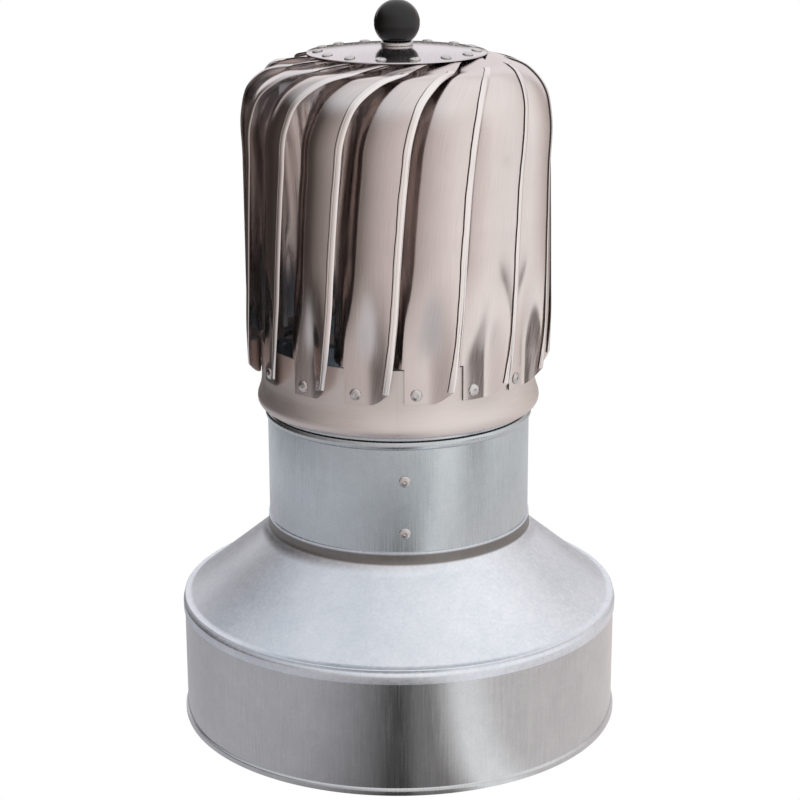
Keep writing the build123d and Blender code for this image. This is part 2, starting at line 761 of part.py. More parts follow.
# ---- rotor: rivets -------------------------------------------------------------------------------
with BuildPart() as ring_rivets:
    for vane in range(vane_count):
        turn = azimuth(ring_rivet_azimuth + vane * 360 / vane_count)
        outside = ring_radius + 2 * tab_gap + stainless
        inside = ring_radius - ring_wall - 0.06
        with Locations(turn * Pos(0, -outside, ring_rivet_height) * Rot(90, 0, 0)):
            Cone(rivet_head, 0.6 * rivet_head, rivet_head_height, align=RISING)
        with Locations(turn * Pos(0, -outside, ring_rivet_height) * Rot(-90, 0, 0)):
            Cylinder(rivet_shank, outside - inside, align=RISING)
        with Locations(turn * Pos(0, -inside, ring_rivet_height) * Rot(-90, 0, 0)):
            Cylinder(rivet_tail, rivet_tail_height, align=RISING)
save(ring_rivets.part, "ring_rivets")

with BuildPart() as disc_rivets:
    grip = disc_thickness + 2 * disc_gap + stainless
    for vane in range(vane_count):
        with Locations(disc_rivet_place(vane)):
            Cone(rivet_head - 0.25, 0.5 * rivet_head, rivet_head_height, align=RISING)
        with Locations(disc_rivet_place(vane) * Pos(0, 0, -grip)):
            Cylinder(rivet_shank, grip, align=RISING)
        with Locations(disc_rivet_place(vane) * Pos(0, 0, -grip - rivet_tail_height)):
            Cylinder(rivet_tail, rivet_tail_height, align=RISING)
save(disc_rivets.part, "disc_rivets")
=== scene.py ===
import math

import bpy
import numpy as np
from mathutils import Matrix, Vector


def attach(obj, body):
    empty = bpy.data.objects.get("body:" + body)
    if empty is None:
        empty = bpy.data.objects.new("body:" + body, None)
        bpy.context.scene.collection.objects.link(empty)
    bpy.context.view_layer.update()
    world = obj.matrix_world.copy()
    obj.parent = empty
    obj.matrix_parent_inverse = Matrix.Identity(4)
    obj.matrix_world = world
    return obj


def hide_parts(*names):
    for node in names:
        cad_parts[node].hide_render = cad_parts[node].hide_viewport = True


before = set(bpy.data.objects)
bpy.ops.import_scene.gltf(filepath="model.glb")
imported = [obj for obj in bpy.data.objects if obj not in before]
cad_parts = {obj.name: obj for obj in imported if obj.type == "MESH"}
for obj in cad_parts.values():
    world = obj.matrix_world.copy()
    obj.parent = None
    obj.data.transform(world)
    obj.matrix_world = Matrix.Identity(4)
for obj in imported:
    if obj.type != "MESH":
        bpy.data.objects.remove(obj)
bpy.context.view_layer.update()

# %% [markdown]
# # A roof turbine ventilator
# The frame holds the measured parts. This notebook dresses them: smooth turned sheet metal for the
# pipes, one curved vane that is copied round the rotor, rivets in rings, and a finish for each metal.
# Everything stands in metres, with the base on z = 0 and the riveted front towards -Y. Outlines are
# listed in millimetres, as a sheet-metal worker writes them, and scaled once by MM.

MM = 0.001


def srgb(code):
    """'#rrggbb' as Blender's linear colour."""
    values = [int(code[i:i + 2], 16) / 255 for i in (1, 3, 5)]
    return (*[v / 12.92 if v <= 0.04045 else ((v + 0.055) / 1.055) ** 2.4 for v in values], 1.0)


def node(tree, kind, *inputs, **settings):
    """Adds a node. The inputs fill its sockets in their order. A setting with a small letter is an
    attribute, and one with a capital is a socket. A value that is a socket itself is linked."""
    made = tree.nodes.new(kind)
    for name in [name for name in settings if name[0].islower()]:
        setattr(made, name, settings.pop(name))
    named = [(made.inputs[name.replace("_", " ")], value) for name, value in settings.items()]
    for socket, value in [*zip(made.inputs, inputs), *named]:
        if isinstance(value, bpy.types.NodeSocket):
            tree.links.new(value, socket)
        else:
            socket.default_value = value
    return made


def into_scene(name, data):
    """A new object for a mesh, a lamp or a camera, linked to the scene."""
    made = bpy.data.objects.new(name, data)
    bpy.context.scene.collection.objects.link(made)
    return made


# %% [markdown]
# ## The view
# The ventilator is seen from a little over a metre away and from above its middle, through a long
# lens, which keeps its upright sides nearly parallel. A camera can be aimed by a constraint or by its
# matrix; the matrix is used, since it also holds the slight roll. Depth of field stays off, so every
# view of the object is sharp.

# %% Camera
EYE = (0.00095, -1.12493, 0.51796)
PITCH_DOWN, ROLL = 0.2881, 0.0037  # radians
LENS, SENSOR = 92.4975, 36.0  # millimetres
camera_data = bpy.data.cameras.new("camera")
camera_data.sensor_width = SENSOR
camera_data.lens = LENS
camera_data.clip_start = 0.01
camera = into_scene("camera", camera_data)
aim = Matrix.Rotation(math.pi / 2 - PITCH_DOWN, 4, "X") @ Matrix.Rotation(-ROLL, 4, "Z")
camera.matrix_world = Matrix.Translation(EYE) @ aim
bpy.context.scene.camera = camera
print("lens", round(camera_data.lens, 1), "mm")

# %% [markdown]
# ## Finishes
# Each finish starts from the real metal and from how its face was made, because that decides what the
# eye sees: how blurred a reflection is, and which way it is smeared. Image textures could do it, but
# patterns worked out by nodes have no seam and lose no detail close up. They are drawn from Object
# coordinates or from a piece's own UV map, both in metres, so a pattern's scale is one over the real
# size of its grain.

# %% Starting a finish
def finish(name, colour, metallic, roughness):
    """A new material with a Principled shader; returns the material, its tree and the shader."""
    made = bpy.data.materials.new(name)
    made.use_nodes = True
    tree = made.node_tree
    shader = tree.nodes["Principled BSDF"]
    shader.inputs["Base Color"].default_value = srgb(colour)
    shader.inputs["Metallic"].default_value = metallic
    shader.inputs["Roughness"].default_value = roughness
    return made, tree, shader


def fill_ramp(ramp, *stops):
    """Gives a colour ramp its stops, each a position and a colour code, and returns its colour."""
    elements = ramp.color_ramp.elements
    while len(elements) < len(stops):
        elements.new(0.5)
    for element, (position, colour) in zip(elements, stops):
        element.position = position
        element.color = srgb(colour)
    return ramp.outputs["Color"]


def weighed(tree, *patterns):
    """Adds patterns up, each with its own weight."""
    total = 0.0
    for pattern, weight in patterns:
        total = node(tree, "ShaderNodeMath", pattern, weight, total, operation="MULTIPLY_ADD").outputs[0]
    return total


def band(tree, value, low, high, soft):
    """One between two values, falling to nought over a soft edge at each."""
    rise = node(tree, "ShaderNodeMapRange", value, low - soft, low, interpolation_type="SMOOTHSTEP")
    fall = node(tree, "ShaderNodeMapRange", value, high, high + soft, 1.0, 0.0,
                interpolation_type="SMOOTHSTEP")
    return node(tree, "ShaderNodeMath", rise.outputs[0], fall.outputs[0], operation="MULTIPLY").outputs[0]


print("middle grey #808080 is", round(srgb("#808080")[0], 3), "in linear light")

# %% [markdown]
# ### Galvanised sheet
# The base, cone, neck and bracket are steel that was dipped in zinc. The zinc freezes into crystals
# (spangle) of about 5 mm, the rolls leave fine marks along the sheet, and weather clouds it. That
# gives a bluish satin in which a reflection is a soft band. The marks also lift the face by a few
# hundredths of a millimetre, which breaks the band's edge up.

# %% Galvanised sheet
SPANGLE, CLOUDING, SPECKLE = 4.76, 38.5, 1.25  # millimetres


def galvanised(name, dark, light, roughness, marks_mm=(1.11, 1.11, 16.7), dark_band=None):
    """Zinc-coated sheet; the marks have a size along each axis, and a darker band lies between two heights.
    """
    made, tree, shader = finish(name, light, 1.0, roughness)
    place = node(tree, "ShaderNodeTexCoord").outputs["Object"]
    crystals = node(tree, "ShaderNodeTexVoronoi", Vector=place, Scale=1 / (SPANGLE * MM), Randomness=1.0)
    cloud = node(tree, "ShaderNodeTexNoise", Vector=place, Scale=1 / (CLOUDING * MM), Detail=5.0,
                 Roughness=0.6)
    rolled = node(tree, "ShaderNodeMapping", Vector=place, Scale=[1 / (size * MM) for size in marks_mm])
    marks = node(tree, "ShaderNodeTexNoise", Vector=rolled.outputs["Vector"], Scale=1.0, Detail=4.0)
    speckle = node(tree, "ShaderNodeTexNoise", Vector=place, Scale=1 / (SPECKLE * MM), Detail=2.0)
    tone = weighed(tree, (crystals.outputs["Color"], 0.07), (cloud.outputs["Fac"], 0.34),
                   (marks.outputs["Fac"], 0.38), (speckle.outputs["Fac"], 0.21))
    colour = fill_ramp(node(tree, "ShaderNodeValToRGB", tone), (0.38, dark), (0.62, light))
    # A darker band between two heights, multiplied into the colour.
    if dark_band:
        low, high, tint = dark_band
        height = node(tree, "ShaderNodeSeparateXYZ", place).outputs["Z"]
        darker_band = band(tree, height, low * MM, high * MM, 1.5 * MM)
        colour = node(tree, "ShaderNodeMix", data_type="RGBA", blend_type="MULTIPLY", Factor=darker_band,
                      A=colour, B=srgb(tint)).outputs["Result"]
    tree.links.new(colour, shader.inputs["Base Color"])
    rough = node(tree, "ShaderNodeMapRange", marks.outputs["Fac"], 0.3, 0.7, roughness - 0.06,
                 roughness + 0.07)
    tree.links.new(rough.outputs["Result"], shader.inputs["Roughness"])
    bump = node(tree, "ShaderNodeBump", Height=marks.outputs["Fac"], Strength=0.12, Distance=0.04 * MM)
    tree.links.new(bump.outputs["Normal"], shader.inputs["Normal"])
    return made


# Bright upright rolling marks: the room shows as clear vertical bands.
zinc_base = galvanised("hot_dip_zinc_base", "#c6c8ca", "#d6d8da", 0.22, (0.909, 0.909, 25))
# Worked over a former and dulled by it: pale and cloudy, with a darker band where the neck enters the
# collar.
zinc_cone = galvanised("hot_dip_zinc_cone", "#dde3eb", "#f3f6fb", 0.4, (2, 2, 2),
                       dark_band=(113.5, 118.0, "#968f88"))
# Rolled the tightest, so its marks are the finest, and a little bluer.
zinc_neck = galvanised("hot_dip_zinc_neck", "#c0c6ca", "#d0d6da", 0.24, (0.769, 0.769, 22.2))
# Thick strip, darker and duller than thin sheet.
zinc_strap = galvanised("hot_dip_zinc_strap", "#8f9193", "#a9abad", 0.36)
print("zinc:", zinc_base.name, zinc_cone.name, zinc_neck.name, zinc_strap.name)

# %% [markdown]
# ### Ground and bright metals
# The vanes are stainless strip that was ground along its length. The hair lines blur a reflection
# across the strip and leave it sharp along it. Real ones are a few hundredths of a millimetre wide,
# too fine to show from here, so they are drawn 0.4 mm wide. Nickel and chromium warm the colour. The
# cut edges and the hem's step get a painted shade, and the hem gets a painted highlight: both are
# marked on the vane's faces as attributes, because they follow the piece and not its place. The turned
# and rolled parts share the same nodes with another grain.

# %% Ground and bright metals
# Painted shade for the vane's cut edges and the hem's step, and a painted highlight for the hem.
EDGE_SHADE, HEM_HIGHLIGHT = "#4b4442", "#f1ebe9"
BLOTCH = 45.5  # millimetres


def ground_steel(name, dark, light, roughness, coordinate="UV", grain_mm=(0.385, 22.2, 1000)):
    """Metal with hair lines; the grain has a size along each axis of the coordinate."""
    made, tree, shader = finish(name, light, 1.0, roughness)
    place = node(tree, "ShaderNodeTexCoord").outputs[coordinate]
    drawn = node(tree, "ShaderNodeMapping", Vector=place, Scale=[1 / (size * MM) for size in grain_mm])
    lines = node(tree, "ShaderNodeTexNoise", Vector=drawn.outputs["Vector"], Scale=1.0, Detail=4.0)
    cloud = node(tree, "ShaderNodeTexNoise", Vector=place, Scale=1 / (BLOTCH * MM), Detail=3.0)
    tone = weighed(tree, (lines.outputs["Fac"], 0.5), (cloud.outputs["Fac"], 0.5))
    plain = fill_ramp(node(tree, "ShaderNodeValToRGB", tone), (0.32, dark), (0.62, light))
    # Painted highlight: the hem's faces are lightened, read from the vane's attribute.
    hem_highlight_mask = node(tree, "ShaderNodeAttribute", attribute_name="burnished").outputs["Fac"]
    with_hem_highlight = node(tree, "ShaderNodeMix", data_type="RGBA", Factor=hem_highlight_mask, A=plain, B=srgb(HEM_HIGHLIGHT))
    # Painted shade: the cut edges and the hem's step are darkened, read from the vane's attribute.
    cut = node(tree, "ShaderNodeAttribute", attribute_name="raw_edge").outputs["Fac"]
    colour = node(tree, "ShaderNodeMix", data_type="RGBA", blend_type="MULTIPLY", Factor=cut,
                  A=with_hem_highlight.outputs["Result"], B=srgb(EDGE_SHADE))
    tree.links.new(colour.outputs["Result"], shader.inputs["Base Color"])
    rough = node(tree, "ShaderNodeMapRange", lines.outputs["Fac"], 0.3, 0.7, roughness - 0.05,
                 roughness + 0.06)
    tree.links.new(rough.outputs["Result"], shader.inputs["Roughness"])
    bump = node(tree, "ShaderNodeBump", Height=lines.outputs["Fac"], Strength=0.15, Distance=0.02 * MM)
    tree.links.new(bump.outputs["Normal"], shader.inputs["Normal"])
    return made


# Ground strip, nearly a mirror along the vane.
vane_steel = ground_steel("ground_stainless_vane", "#d4cbc8", "#e4dbd8", 0.17)
# Spun over a chuck, which leaves rings round it and a milky sheen.
ring_steel = ground_steel("ground_stainless_ring", "#dfd5d1", "#ece4e0", 0.48, grain_mm=(16.7, 0.4545, 1000))
# Bright rolled sheet, the clearest mirror of all.
disc_steel = ground_steel("bright_rolled_disc", "#ccc6ca", "#dcd7da", 0.12, "Object", (1.11, 16.7, 16.7))
# Turned on a lathe: fine rings round the axis.
turned_alloy = ground_steel("turned_aluminium", "#a8a8aa", "#c2c2c4", 0.3, "Object", (16.7, 16.7, 0.667))
# Pressed wire: even, soft and white.
rivet_alloy = ground_steel("rivet_aluminium", "#c0bcbb", "#dcd9d8", 0.26, "Object", (1.43, 1.43, 1.43))
# Ground and lapped, so dark and clear.
bearing_steel = ground_steel("ground_bearing_steel", "#a3a3a5", "#c0c0c2", 0.14, "Object",
                             (16.7, 16.7, 0.556))
# Plated screws and nuts: grey and slightly dull.
zinc_plate = ground_steel("zinc_plated_steel", "#98979a", "#b5b4b6", 0.28, "Object", (2, 2, 2))
print("bright metals:", vane_steel.name, ring_steel.name, disc_steel.name, turned_alloy.name)

# %% [markdown]
# ### Moulded plastic
# The ball knob is black phenolic, pressed in a polished steel mould: deep black, with a clear small
# highlight. The bearing cages are nylon, which comes out of its mould satin. Both keep a faint orange
# peel of the mould, a millimetre or so wide, and a gloss that isn't quite even.

# %% Moulded plastic
def moulded(name, colour, roughness, peel_mm):
    """Moulded plastic: one colour, with a faint orange-peel skin and uneven gloss."""
    made, tree, shader = finish(name, colour, 0.0, roughness)
    place = node(tree, "ShaderNodeTexCoord").outputs["Object"]
    skin = node(tree, "ShaderNodeTexNoise", Vector=place, Scale=1 / (peel_mm * MM), Detail=2.0)
    gloss = node(tree, "ShaderNodeTexNoise", Vector=place, Scale=1 / (8.33 * MM), Detail=3.0)
    rough = node(tree, "ShaderNodeMapRange", gloss.outputs["Fac"], 0.3, 0.7, roughness - 0.05,
                 roughness + 0.08)
    tree.links.new(rough.outputs["Result"], shader.inputs["Roughness"])
    bump = node(tree, "ShaderNodeBump", Height=skin.outputs["Fac"], Strength=0.1, Distance=0.05 * MM)
    tree.links.new(bump.outputs["Normal"], shader.inputs["Normal"])
    return made


knob_plastic = moulded("moulded_phenolic", "#080707", 0.22, 1.2)
cage_plastic = moulded("moulded_nylon", "#2a2a2b", 0.5, 0.8)
print(len(bpy.data.materials), "materials")

# %% [markdown]
# ## Turned sheet metal
# The foot pipe, cone, neck, rotor ring, disc, washer and knob are all round about one axis. A screw or
# a spin modifier could turn an outline, but a short lathe in code also gives each point its place on
# the sheet as a UV map, and it closes the mesh as it goes. Each outline holds radius and height in
# millimetres, and the turn has enough steps that reflections stay smooth.

# %% Pieces on their bodies
def sheet_mesh(name, verts, faces, uv=None, crease=32):
    """A mesh, smooth but sharp at its creases, with a UV map in metres if one is given."""
    mesh = bpy.data.meshes.new(name)
    mesh.from_pydata([tuple(v) for v in verts], [], faces)
    if uv is not None:
        layer = mesh.uv_layers.new(name="UVMap")
        for loop in mesh.loops:
            layer.data[loop.index].uv = uv[loop.vertex_index]
    mesh.shade_smooth()
    mesh.set_sharp_from_angle(angle=math.radians(crease))
    mesh.update()
    return mesh


def on_body(name, mesh, body, slot, *nodes):
    """Makes the piece ride on its body, in place of the measured nodes it stands for."""
    piece = into_scene(name, mesh)
    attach(piece, body)
    if nodes:
        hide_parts(*nodes)
    return piece


print(len(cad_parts), "measured nodes to dress")

# %% Lathe
TURN_STEPS = 288


def arc(centre, radius, start, end, steps):
    """Points on an arc in (radius, height), angles in degrees from outwards to up."""
    angles = np.radians(np.linspace(start, end, steps))
    return [(centre[0] + radius * math.cos(a), centre[1] + radius * math.sin(a)) for a in angles]


def spin(outline, steps=TURN_STEPS):
    """Spins a closed outline in millimetres, listed counter-clockwise, about the upright axis."""
    count = len(outline)
    verts, faces, uv = [], [], []
    length = np.concatenate([[0], np.cumsum(np.hypot(*np.diff(np.array(outline), axis=0).T))])
    for i in range(steps):
        angle = 2 * math.pi * i / steps
        for (radius, height), run in zip(outline, length):
            verts.append((radius * MM * math.sin(angle), -radius * MM * math.cos(angle), height * MM))
            uv.append((angle * outline[0][0] * MM, run * MM))
    for i in range(steps):
        a, b = i * count, ((i + 1) % steps) * count
        for j in range(count):
            k = (j + 1) % count
            faces.append((a + j, b + j, b + k, a + k))
    return verts, faces, uv


def weld(verts, faces, uv):
    """Merges points on the axis, and drops faces that lost their area."""
    keys, index, kept, kept_uv = {}, [], [], []
    for v, t in zip(verts, uv):
        key = tuple(round(c * 1e7) for c in v)
        if key not in keys:
            keys[key] = len(kept)
            kept.append(v)
            kept_uv.append(t)
        index.append(keys[key])
    clean = []
    for face in faces:
        corners = list(dict.fromkeys(index[i] for i in face))
        if len(corners) > 2:
            clean.append(tuple(corners))
    return kept, clean, kept_uv


def turned(name, outline, material, body, slot, replaced, steps=TURN_STEPS):
    """Turns an outline into a piece that takes a measured node's place."""
    verts, faces, uv = weld(*spin(outline, steps))
    mesh = sheet_mesh(name, verts, faces, uv)
    mesh.materials.append(material)
    print(name, len(faces), "faces")
    return on_body(name, mesh, body, slot, replaced)


print("a step on the foot pipe is", round(2 * math.pi * 125 / TURN_STEPS, 1), "mm")

# %% [markdown]
# ### Foot pipe
# The pipe that slips over the flue. Its foot is rolled into a small hem, which stiffens it and keeps
# the cut edge off the roof. The hem is only a few points of the outline, so it catches a thin bright
# line of its own all the way round.

# %% Foot pipe
WALL = 0.7
FOOT_OUT, FOOT_TOP = 125.0, 69.3
foot_pipe = [
    (FOOT_OUT - WALL, 0.0), (126.1, 0.0), (126.3, 0.5), (126.3, 2.6), (126.0, 3.2), (125.4, 3.5),
    (FOOT_OUT, 3.9), (FOOT_OUT, 20.0), (FOOT_OUT, 45.0), (FOOT_OUT, FOOT_TOP), (FOOT_OUT - WALL, FOOT_TOP),
    (FOOT_OUT - WALL, 45.0), (FOOT_OUT - WALL, 20.0),
]
turned("foot_pipe", foot_pipe, zinc_base, "base", "galvanised", "base_collar")

# %% [markdown]
# ### Cone
# The reducer between the two pipes. Its skirt slips over the foot pipe, with a groove and a raised
# ridge where the slope begins, and its top turns up into a short collar for the neck. The slope is
# straight and the turn into the collar is an arc that touches both, so no kink shows in the sheen.

# %% Cone
CONE_FOOT, CONE_LOW, CONE_RISE = 121.4, 72.5, 38.0
COLLAR_OUT, COLLAR_TOP, COLLAR_BEND = 75.15, 119.9, 12.0
MID_SLOPE = 100.0
tilt = math.atan2(CONE_RISE, CONE_FOOT - COLLAR_OUT)
bend_x = COLLAR_OUT + COLLAR_BEND
bend_z = CONE_LOW + (COLLAR_BEND + (CONE_FOOT - bend_x) * math.sin(tilt)) / math.cos(tilt)
slope_end = 180 + math.degrees(math.pi / 2 - tilt)
cone_outline = [
    (125.05, 64.5), (125.6, 64.5), (125.75, 64.7), (125.75, 68.6), (125.6, 69.3), (125.0, 70.0),
    (124.4, 70.6), (124.35, 71.3), (124.85, 71.75), (124.85, 72.2), (124.5, 72.5), (123.0, 72.55),
    (121.9, 72.6), (120.6, 73.3), (MID_SLOPE, CONE_LOW + (CONE_FOOT - MID_SLOPE) * math.tan(tilt)),
    *arc((bend_x, bend_z), COLLAR_BEND, slope_end, 180, 10),
    (COLLAR_OUT, COLLAR_TOP), (COLLAR_OUT - WALL, COLLAR_TOP),
    *arc((bend_x, bend_z), COLLAR_BEND + WALL, 180, slope_end, 8),
    (120.9, 71.9), (123.7, 71.8), (123.7, 69.35), (125.05, 69.35),
]
turned("cone_skin", cone_outline, zinc_cone, "base", "galvanised", "cone")

# %% [markdown]
# ### Neck and lock seams
# The neck is a rolled pipe with one stiffening bead just under the rotor. Both pipes are closed by a
# lock seam down the back: a narrow strip, folded flat, that stands 0.8 mm proud. The bead belongs to
# the outline. The seams break the round, so they are strips of their own that follow the pipe's curve.

# %% Neck pipe
NECK, NECK_FOOT, NECK_TOP = 74.4, 106.0, 219.0
BEAD_MID, BEAD_HALF, BEAD_REACH, BEAD_FULLNESS = 180.85, 2.35, 1.35, 0.8
BEAD_LOW, BEAD_HIGH = 178.2, 183.5
bead_out = [(NECK + BEAD_REACH * math.cos(a) ** BEAD_FULLNESS, BEAD_MID + BEAD_HALF * math.sin(a))
            for a in np.linspace(-1.45, 1.45, 9)]
bead_in = [(radius - WALL, height) for radius, height in reversed(bead_out)]
neck_outline = [
    (NECK - WALL, NECK_FOOT), (NECK, NECK_FOOT), (NECK, 140.0), (NECK, 165.0), (NECK, BEAD_LOW), *bead_out,
    (NECK, BEAD_HIGH), (NECK, 200.0), (NECK, NECK_TOP), (NECK - WALL, NECK_TOP), (NECK - WALL, BEAD_HIGH),
    *bead_in, (NECK - WALL, BEAD_LOW), (NECK - WALL, 140.0),
]
turned("neck_skin", neck_outline, zinc_neck, "base", "galvanised", "neck_pipe")

# %% Lock seams
SEAM_SECTION = [(-3.0, -0.1), (-2.9, 0.55), (-2.5, 0.78), (2.5, 0.78), (2.9, 0.55), (3.0, -0.1)]
SEAM_ROUNDING = 0.5


def lock_seam(name, radius, foot, top, material):
    """A folded strip that follows the pipe's curve at the back and sinks a little at both ends."""
    verts, faces = [], []
    heights = [foot, foot + SEAM_ROUNDING, top - SEAM_ROUNDING, top]
    for height in heights:
        inset = 0.3 if height in (foot, top) else 0.0
        for across, proud in SEAM_SECTION:
            angle = math.pi + across / radius
            out = radius + max(proud - inset, -0.1)
            verts.append((out * MM * math.sin(angle), -out * MM * math.cos(angle), height * MM))
    count = len(SEAM_SECTION)
    for i in range(len(heights) - 1):
        for j in range(count):
            k = (j + 1) % count
            faces.append((i * count + j, i * count + k, (i + 1) * count + k, (i + 1) * count + j))
    faces.append(tuple(reversed(range(count))))
    faces.append(tuple(range(3 * count, 4 * count)))
    mesh = sheet_mesh(name, verts, faces)
    mesh.materials.append(material)
    print(name, round(top - foot, 1), "mm long")
    return on_body(name, mesh, "base", "galvanised")


lock_seam("foot_seam", FOOT_OUT, 4.2, 63.8, zinc_base)
lock_seam("neck_seam", NECK, 121.3, 177.2, zinc_neck)

# %% [markdown]
# ### Rotor ring
# The ring is spun stainless: an upright wall that the vanes are riveted to, and a flared lip that
# hangs over the neck's bead like a drip edge and keeps rain out of the gap. Its back is the same line
# moved in by the wall, apart from the lip, whose rolled edge is drawn point by point.

# %% Rotor ring
RING = 77.3
ring_line = [(RING, 223.4), (RING, 215.0), (RING, 207.0), (RING + 0.02, 201.5), (RING + 0.3, 199.0),
             (RING + 0.8, 196.3), (RING + 1.6, 193.9), (RING + 2.35, 191.8), (RING + 2.6, 189.9),
             (RING + 2.3, 188.0), (RING + 1.4, 186.6), (RING + 0.4, 185.8), (RING - 0.25, 185.55)]
lip_back = [(RING + 0.9, 187.1), (RING, 186.35), (RING - 0.35, 186.0)]
ring_back = [(radius - WALL, height) for radius, height in ring_line[:-3]] + lip_back
turned("ring_skin", ring_back + ring_line[::-1], ring_steel, "rotor", "stainless", "rotor_ring")

# %% [markdown]
# ### Disc and washer
# The disc that closes the rotor is a very shallow dome with a flat pad in its middle, where the shaft's
# stud comes through. So shallow a dome looks flat until it mirrors something: its curve has to be real,
# which is why the outline follows the two circles of its faces. A turned washer stands on the pad.

# %% Disc and washer
DISC, PAD, PAD_TOP, DOME, DISC_WALL = 49.35, 10.0, 385.8, 324.0, 0.8
STUD_HOLE, WASHER_TOP = 3.1, 387.8
dome_centre = PAD_TOP - math.sqrt(DOME ** 2 - PAD ** 2)


def disc_top(radius):
    """Height of the disc's upper face outside its flat pad."""
    return dome_centre + math.sqrt(DOME ** 2 - radius ** 2)


def disc_under(radius):
    """Height of the disc's lower face."""
    return dome_centre + math.sqrt((DOME - DISC_WALL) ** 2 - radius ** 2)


dome_radii = np.linspace(PAD, DISC - 0.25, 9)
disc_outline = [(STUD_HOLE, PAD_TOP - DISC_WALL), (PAD, PAD_TOP - DISC_WALL)]
disc_outline += [(r, disc_under(r)) for r in dome_radii[1:]]
disc_outline += [(DISC, disc_under(DISC) + 0.2), (DISC, disc_top(DISC) - 0.2)]
disc_outline += [(r, disc_top(r)) for r in dome_radii[::-1]] + [(STUD_HOLE, PAD_TOP)]
turned("disc_skin", disc_outline, disc_steel, "rotor", "disc_steel", "top_disc")

washer_outline = [(STUD_HOLE, 385.82), (8.6, 385.82), (8.9, 386.1), (8.9, 387.4), (8.5, WASHER_TOP),
                  (STUD_HOLE, WASHER_TOP)]
turned("knob_washer", washer_outline, rivet_alloy, "rotor", "fastener", "top_washer", steps=96)

# %% [markdown]
# ### Ball knob
# The knob is moulded in two halves, so a fine parting line runs round its widest place. It screws on
# to the shaft's stud and clamps the disc. A sphere primitive would have neither the flat seat nor the
# line, so it is turned too, with the groove taken off the radius near the middle.

# %% Ball knob
KNOB, KNOB_SEAT_RADIUS, KNOB_HOLE_TOP = 12.5, 7.5, 400.8
PARTING_DEPTH, PARTING_HALF = 0.16, 0.9  # millimetres, degrees
knob_centre = WASHER_TOP + math.sqrt(KNOB ** 2 - KNOB_SEAT_RADIUS ** 2)
knob_low = math.degrees(math.asin((WASHER_TOP + 0.4 - knob_centre) / KNOB))
knob_outline = [(STUD_HOLE, WASHER_TOP), (7.2, WASHER_TOP)]
for degrees in np.linspace(knob_low, 90, 60):
    near_parting = abs(degrees) < 6
    reach = KNOB - (PARTING_DEPTH * math.exp(-(degrees / PARTING_HALF) ** 2) if near_parting else 0.0)
    knob_outline.append((max(reach * math.cos(math.radians(degrees)), 0.0),
                         knob_centre + reach * math.sin(math.radians(degrees))))
knob_outline += [(0.0, KNOB_HOLE_TOP), (STUD_HOLE, KNOB_HOLE_TOP)]
turned("knob_ball", knob_outline, knob_plastic, "rotor", "knob", "ball_knob", steps=160)

# %% [markdown]
# ## The vane
# A vane is a curved strip of stainless sheet that scoops the wind. Each station across it is known by
# its outer edge (the hem), its inner edge and how far it bulges outwards. The stations climb the wall
# of the rotor, roll over the shoulder and lie down under the disc. They could be bridged by a loft or
# subdivided from a coarse cage, but both leave their own path between the stations. Here a smooth curve
# through them gives every point, so the mesh can be made as fine as its reflections need.

# %% Stations of the vane
SHEET, DISC_GAP = 0.6, 0.25
WALL_FOOT, SHOULDER, SHOULDER_BEND = 203.5, 350.0, 28.8
HEM_FOOT, HEM_SHOULDER = 87.4, 85.8  # radius of the hem at the foot and at the shoulder
INNER_RADIUS, CROWN = 65.4, 8.9
RIM = 224.3  # just over the ring's top edge
WALL_HEIGHTS = (WALL_FOOT, 210, 217, RIM, 233, 242, 251.4, 275, 300, 325, SHOULDER)
# Share of the wall's height, azimuth of the hem, azimuth of the inner edge.
WALL_AZIMUTHS = ((0.0, -4.6, -32.6), (0.167, -1.7, -32.0), (0.333, 0.0, -31.2), (0.567, 1.4, -29.8),
                 (0.8, 3.2, -27.0), (1.0, 6.0, -23.0))
# Bend and azimuth of the hem; radius, azimuth and drop of the inner edge; bulge.
SHOULDER_ROWS = ((30, 9.8, 64.5, -17.6, 14.4, 5.4), (55, 17.0, 61.5, -9.5, 6.6, 2.2),
                 (80, 29.0, 53.5, 5.0, 4.4, 0.7))
# Radius, azimuth and drop of the hem, then of the inner edge; bulge, or None to follow the disc.
TIP_ROWS = ((55.6, 35.5, 0.6, 45.5, 19.5, 2.0, 0.2), (50.9, 41.5, 0.35, 36.8, 30.4, 1.1, None),
            (47.2, 49.0, 0.3, 33.0, 40.5, 0.7, None))


def at(radius, degrees, height):
    """A point in millimetres; its azimuth counts from the front towards +X."""
    angle = math.radians(degrees)
    return np.array([radius * math.sin(angle), -radius * math.cos(angle), height])


def radius_of(point):
    return math.hypot(point[0], point[1])


def azimuth_of(point):
    return math.degrees(math.atan2(point[0], -point[1]))


def station_rows():
    """Hem, inner edge and bulge of each station, from the foot to the tip."""
    rows = []
    for height in WALL_HEIGHTS:
        share = (height - WALL_FOOT) / (SHOULDER - WALL_FOOT)
        shares, hems, inners = zip(*WALL_AZIMUTHS)
        hem_radius = HEM_FOOT - (HEM_FOOT - HEM_SHOULDER) * share - SHEET
        rows.append((at(hem_radius, np.interp(share, shares, hems), height),
                     at(INNER_RADIUS, np.interp(share, shares, inners), height), CROWN))
    for bend, hem_azimuth, radius, azimuth, drop, bulge in SHOULDER_ROWS:
        angle, reach = math.radians(bend), SHOULDER_BEND - SHEET
        hem = at(HEM_SHOULDER - SHOULDER_BEND + reach * math.cos(angle), hem_azimuth,
                 SHOULDER + reach * math.sin(angle))
        rows.append((hem, at(radius, azimuth, disc_under(radius) - drop), bulge))
    for hem_radius, hem_azimuth, hem_drop, radius, azimuth, drop, bulge in TIP_ROWS:
        hem = at(hem_radius, hem_azimuth, disc_under(hem_radius) - hem_drop)
        inner = at(radius, azimuth, disc_under(radius) - drop)
        if bulge is None:
            middle = (hem + inner) / 2
            bulge = disc_under(radius_of(middle)) - DISC_GAP - middle[2]
        rows.append((hem, inner, bulge))
    return rows


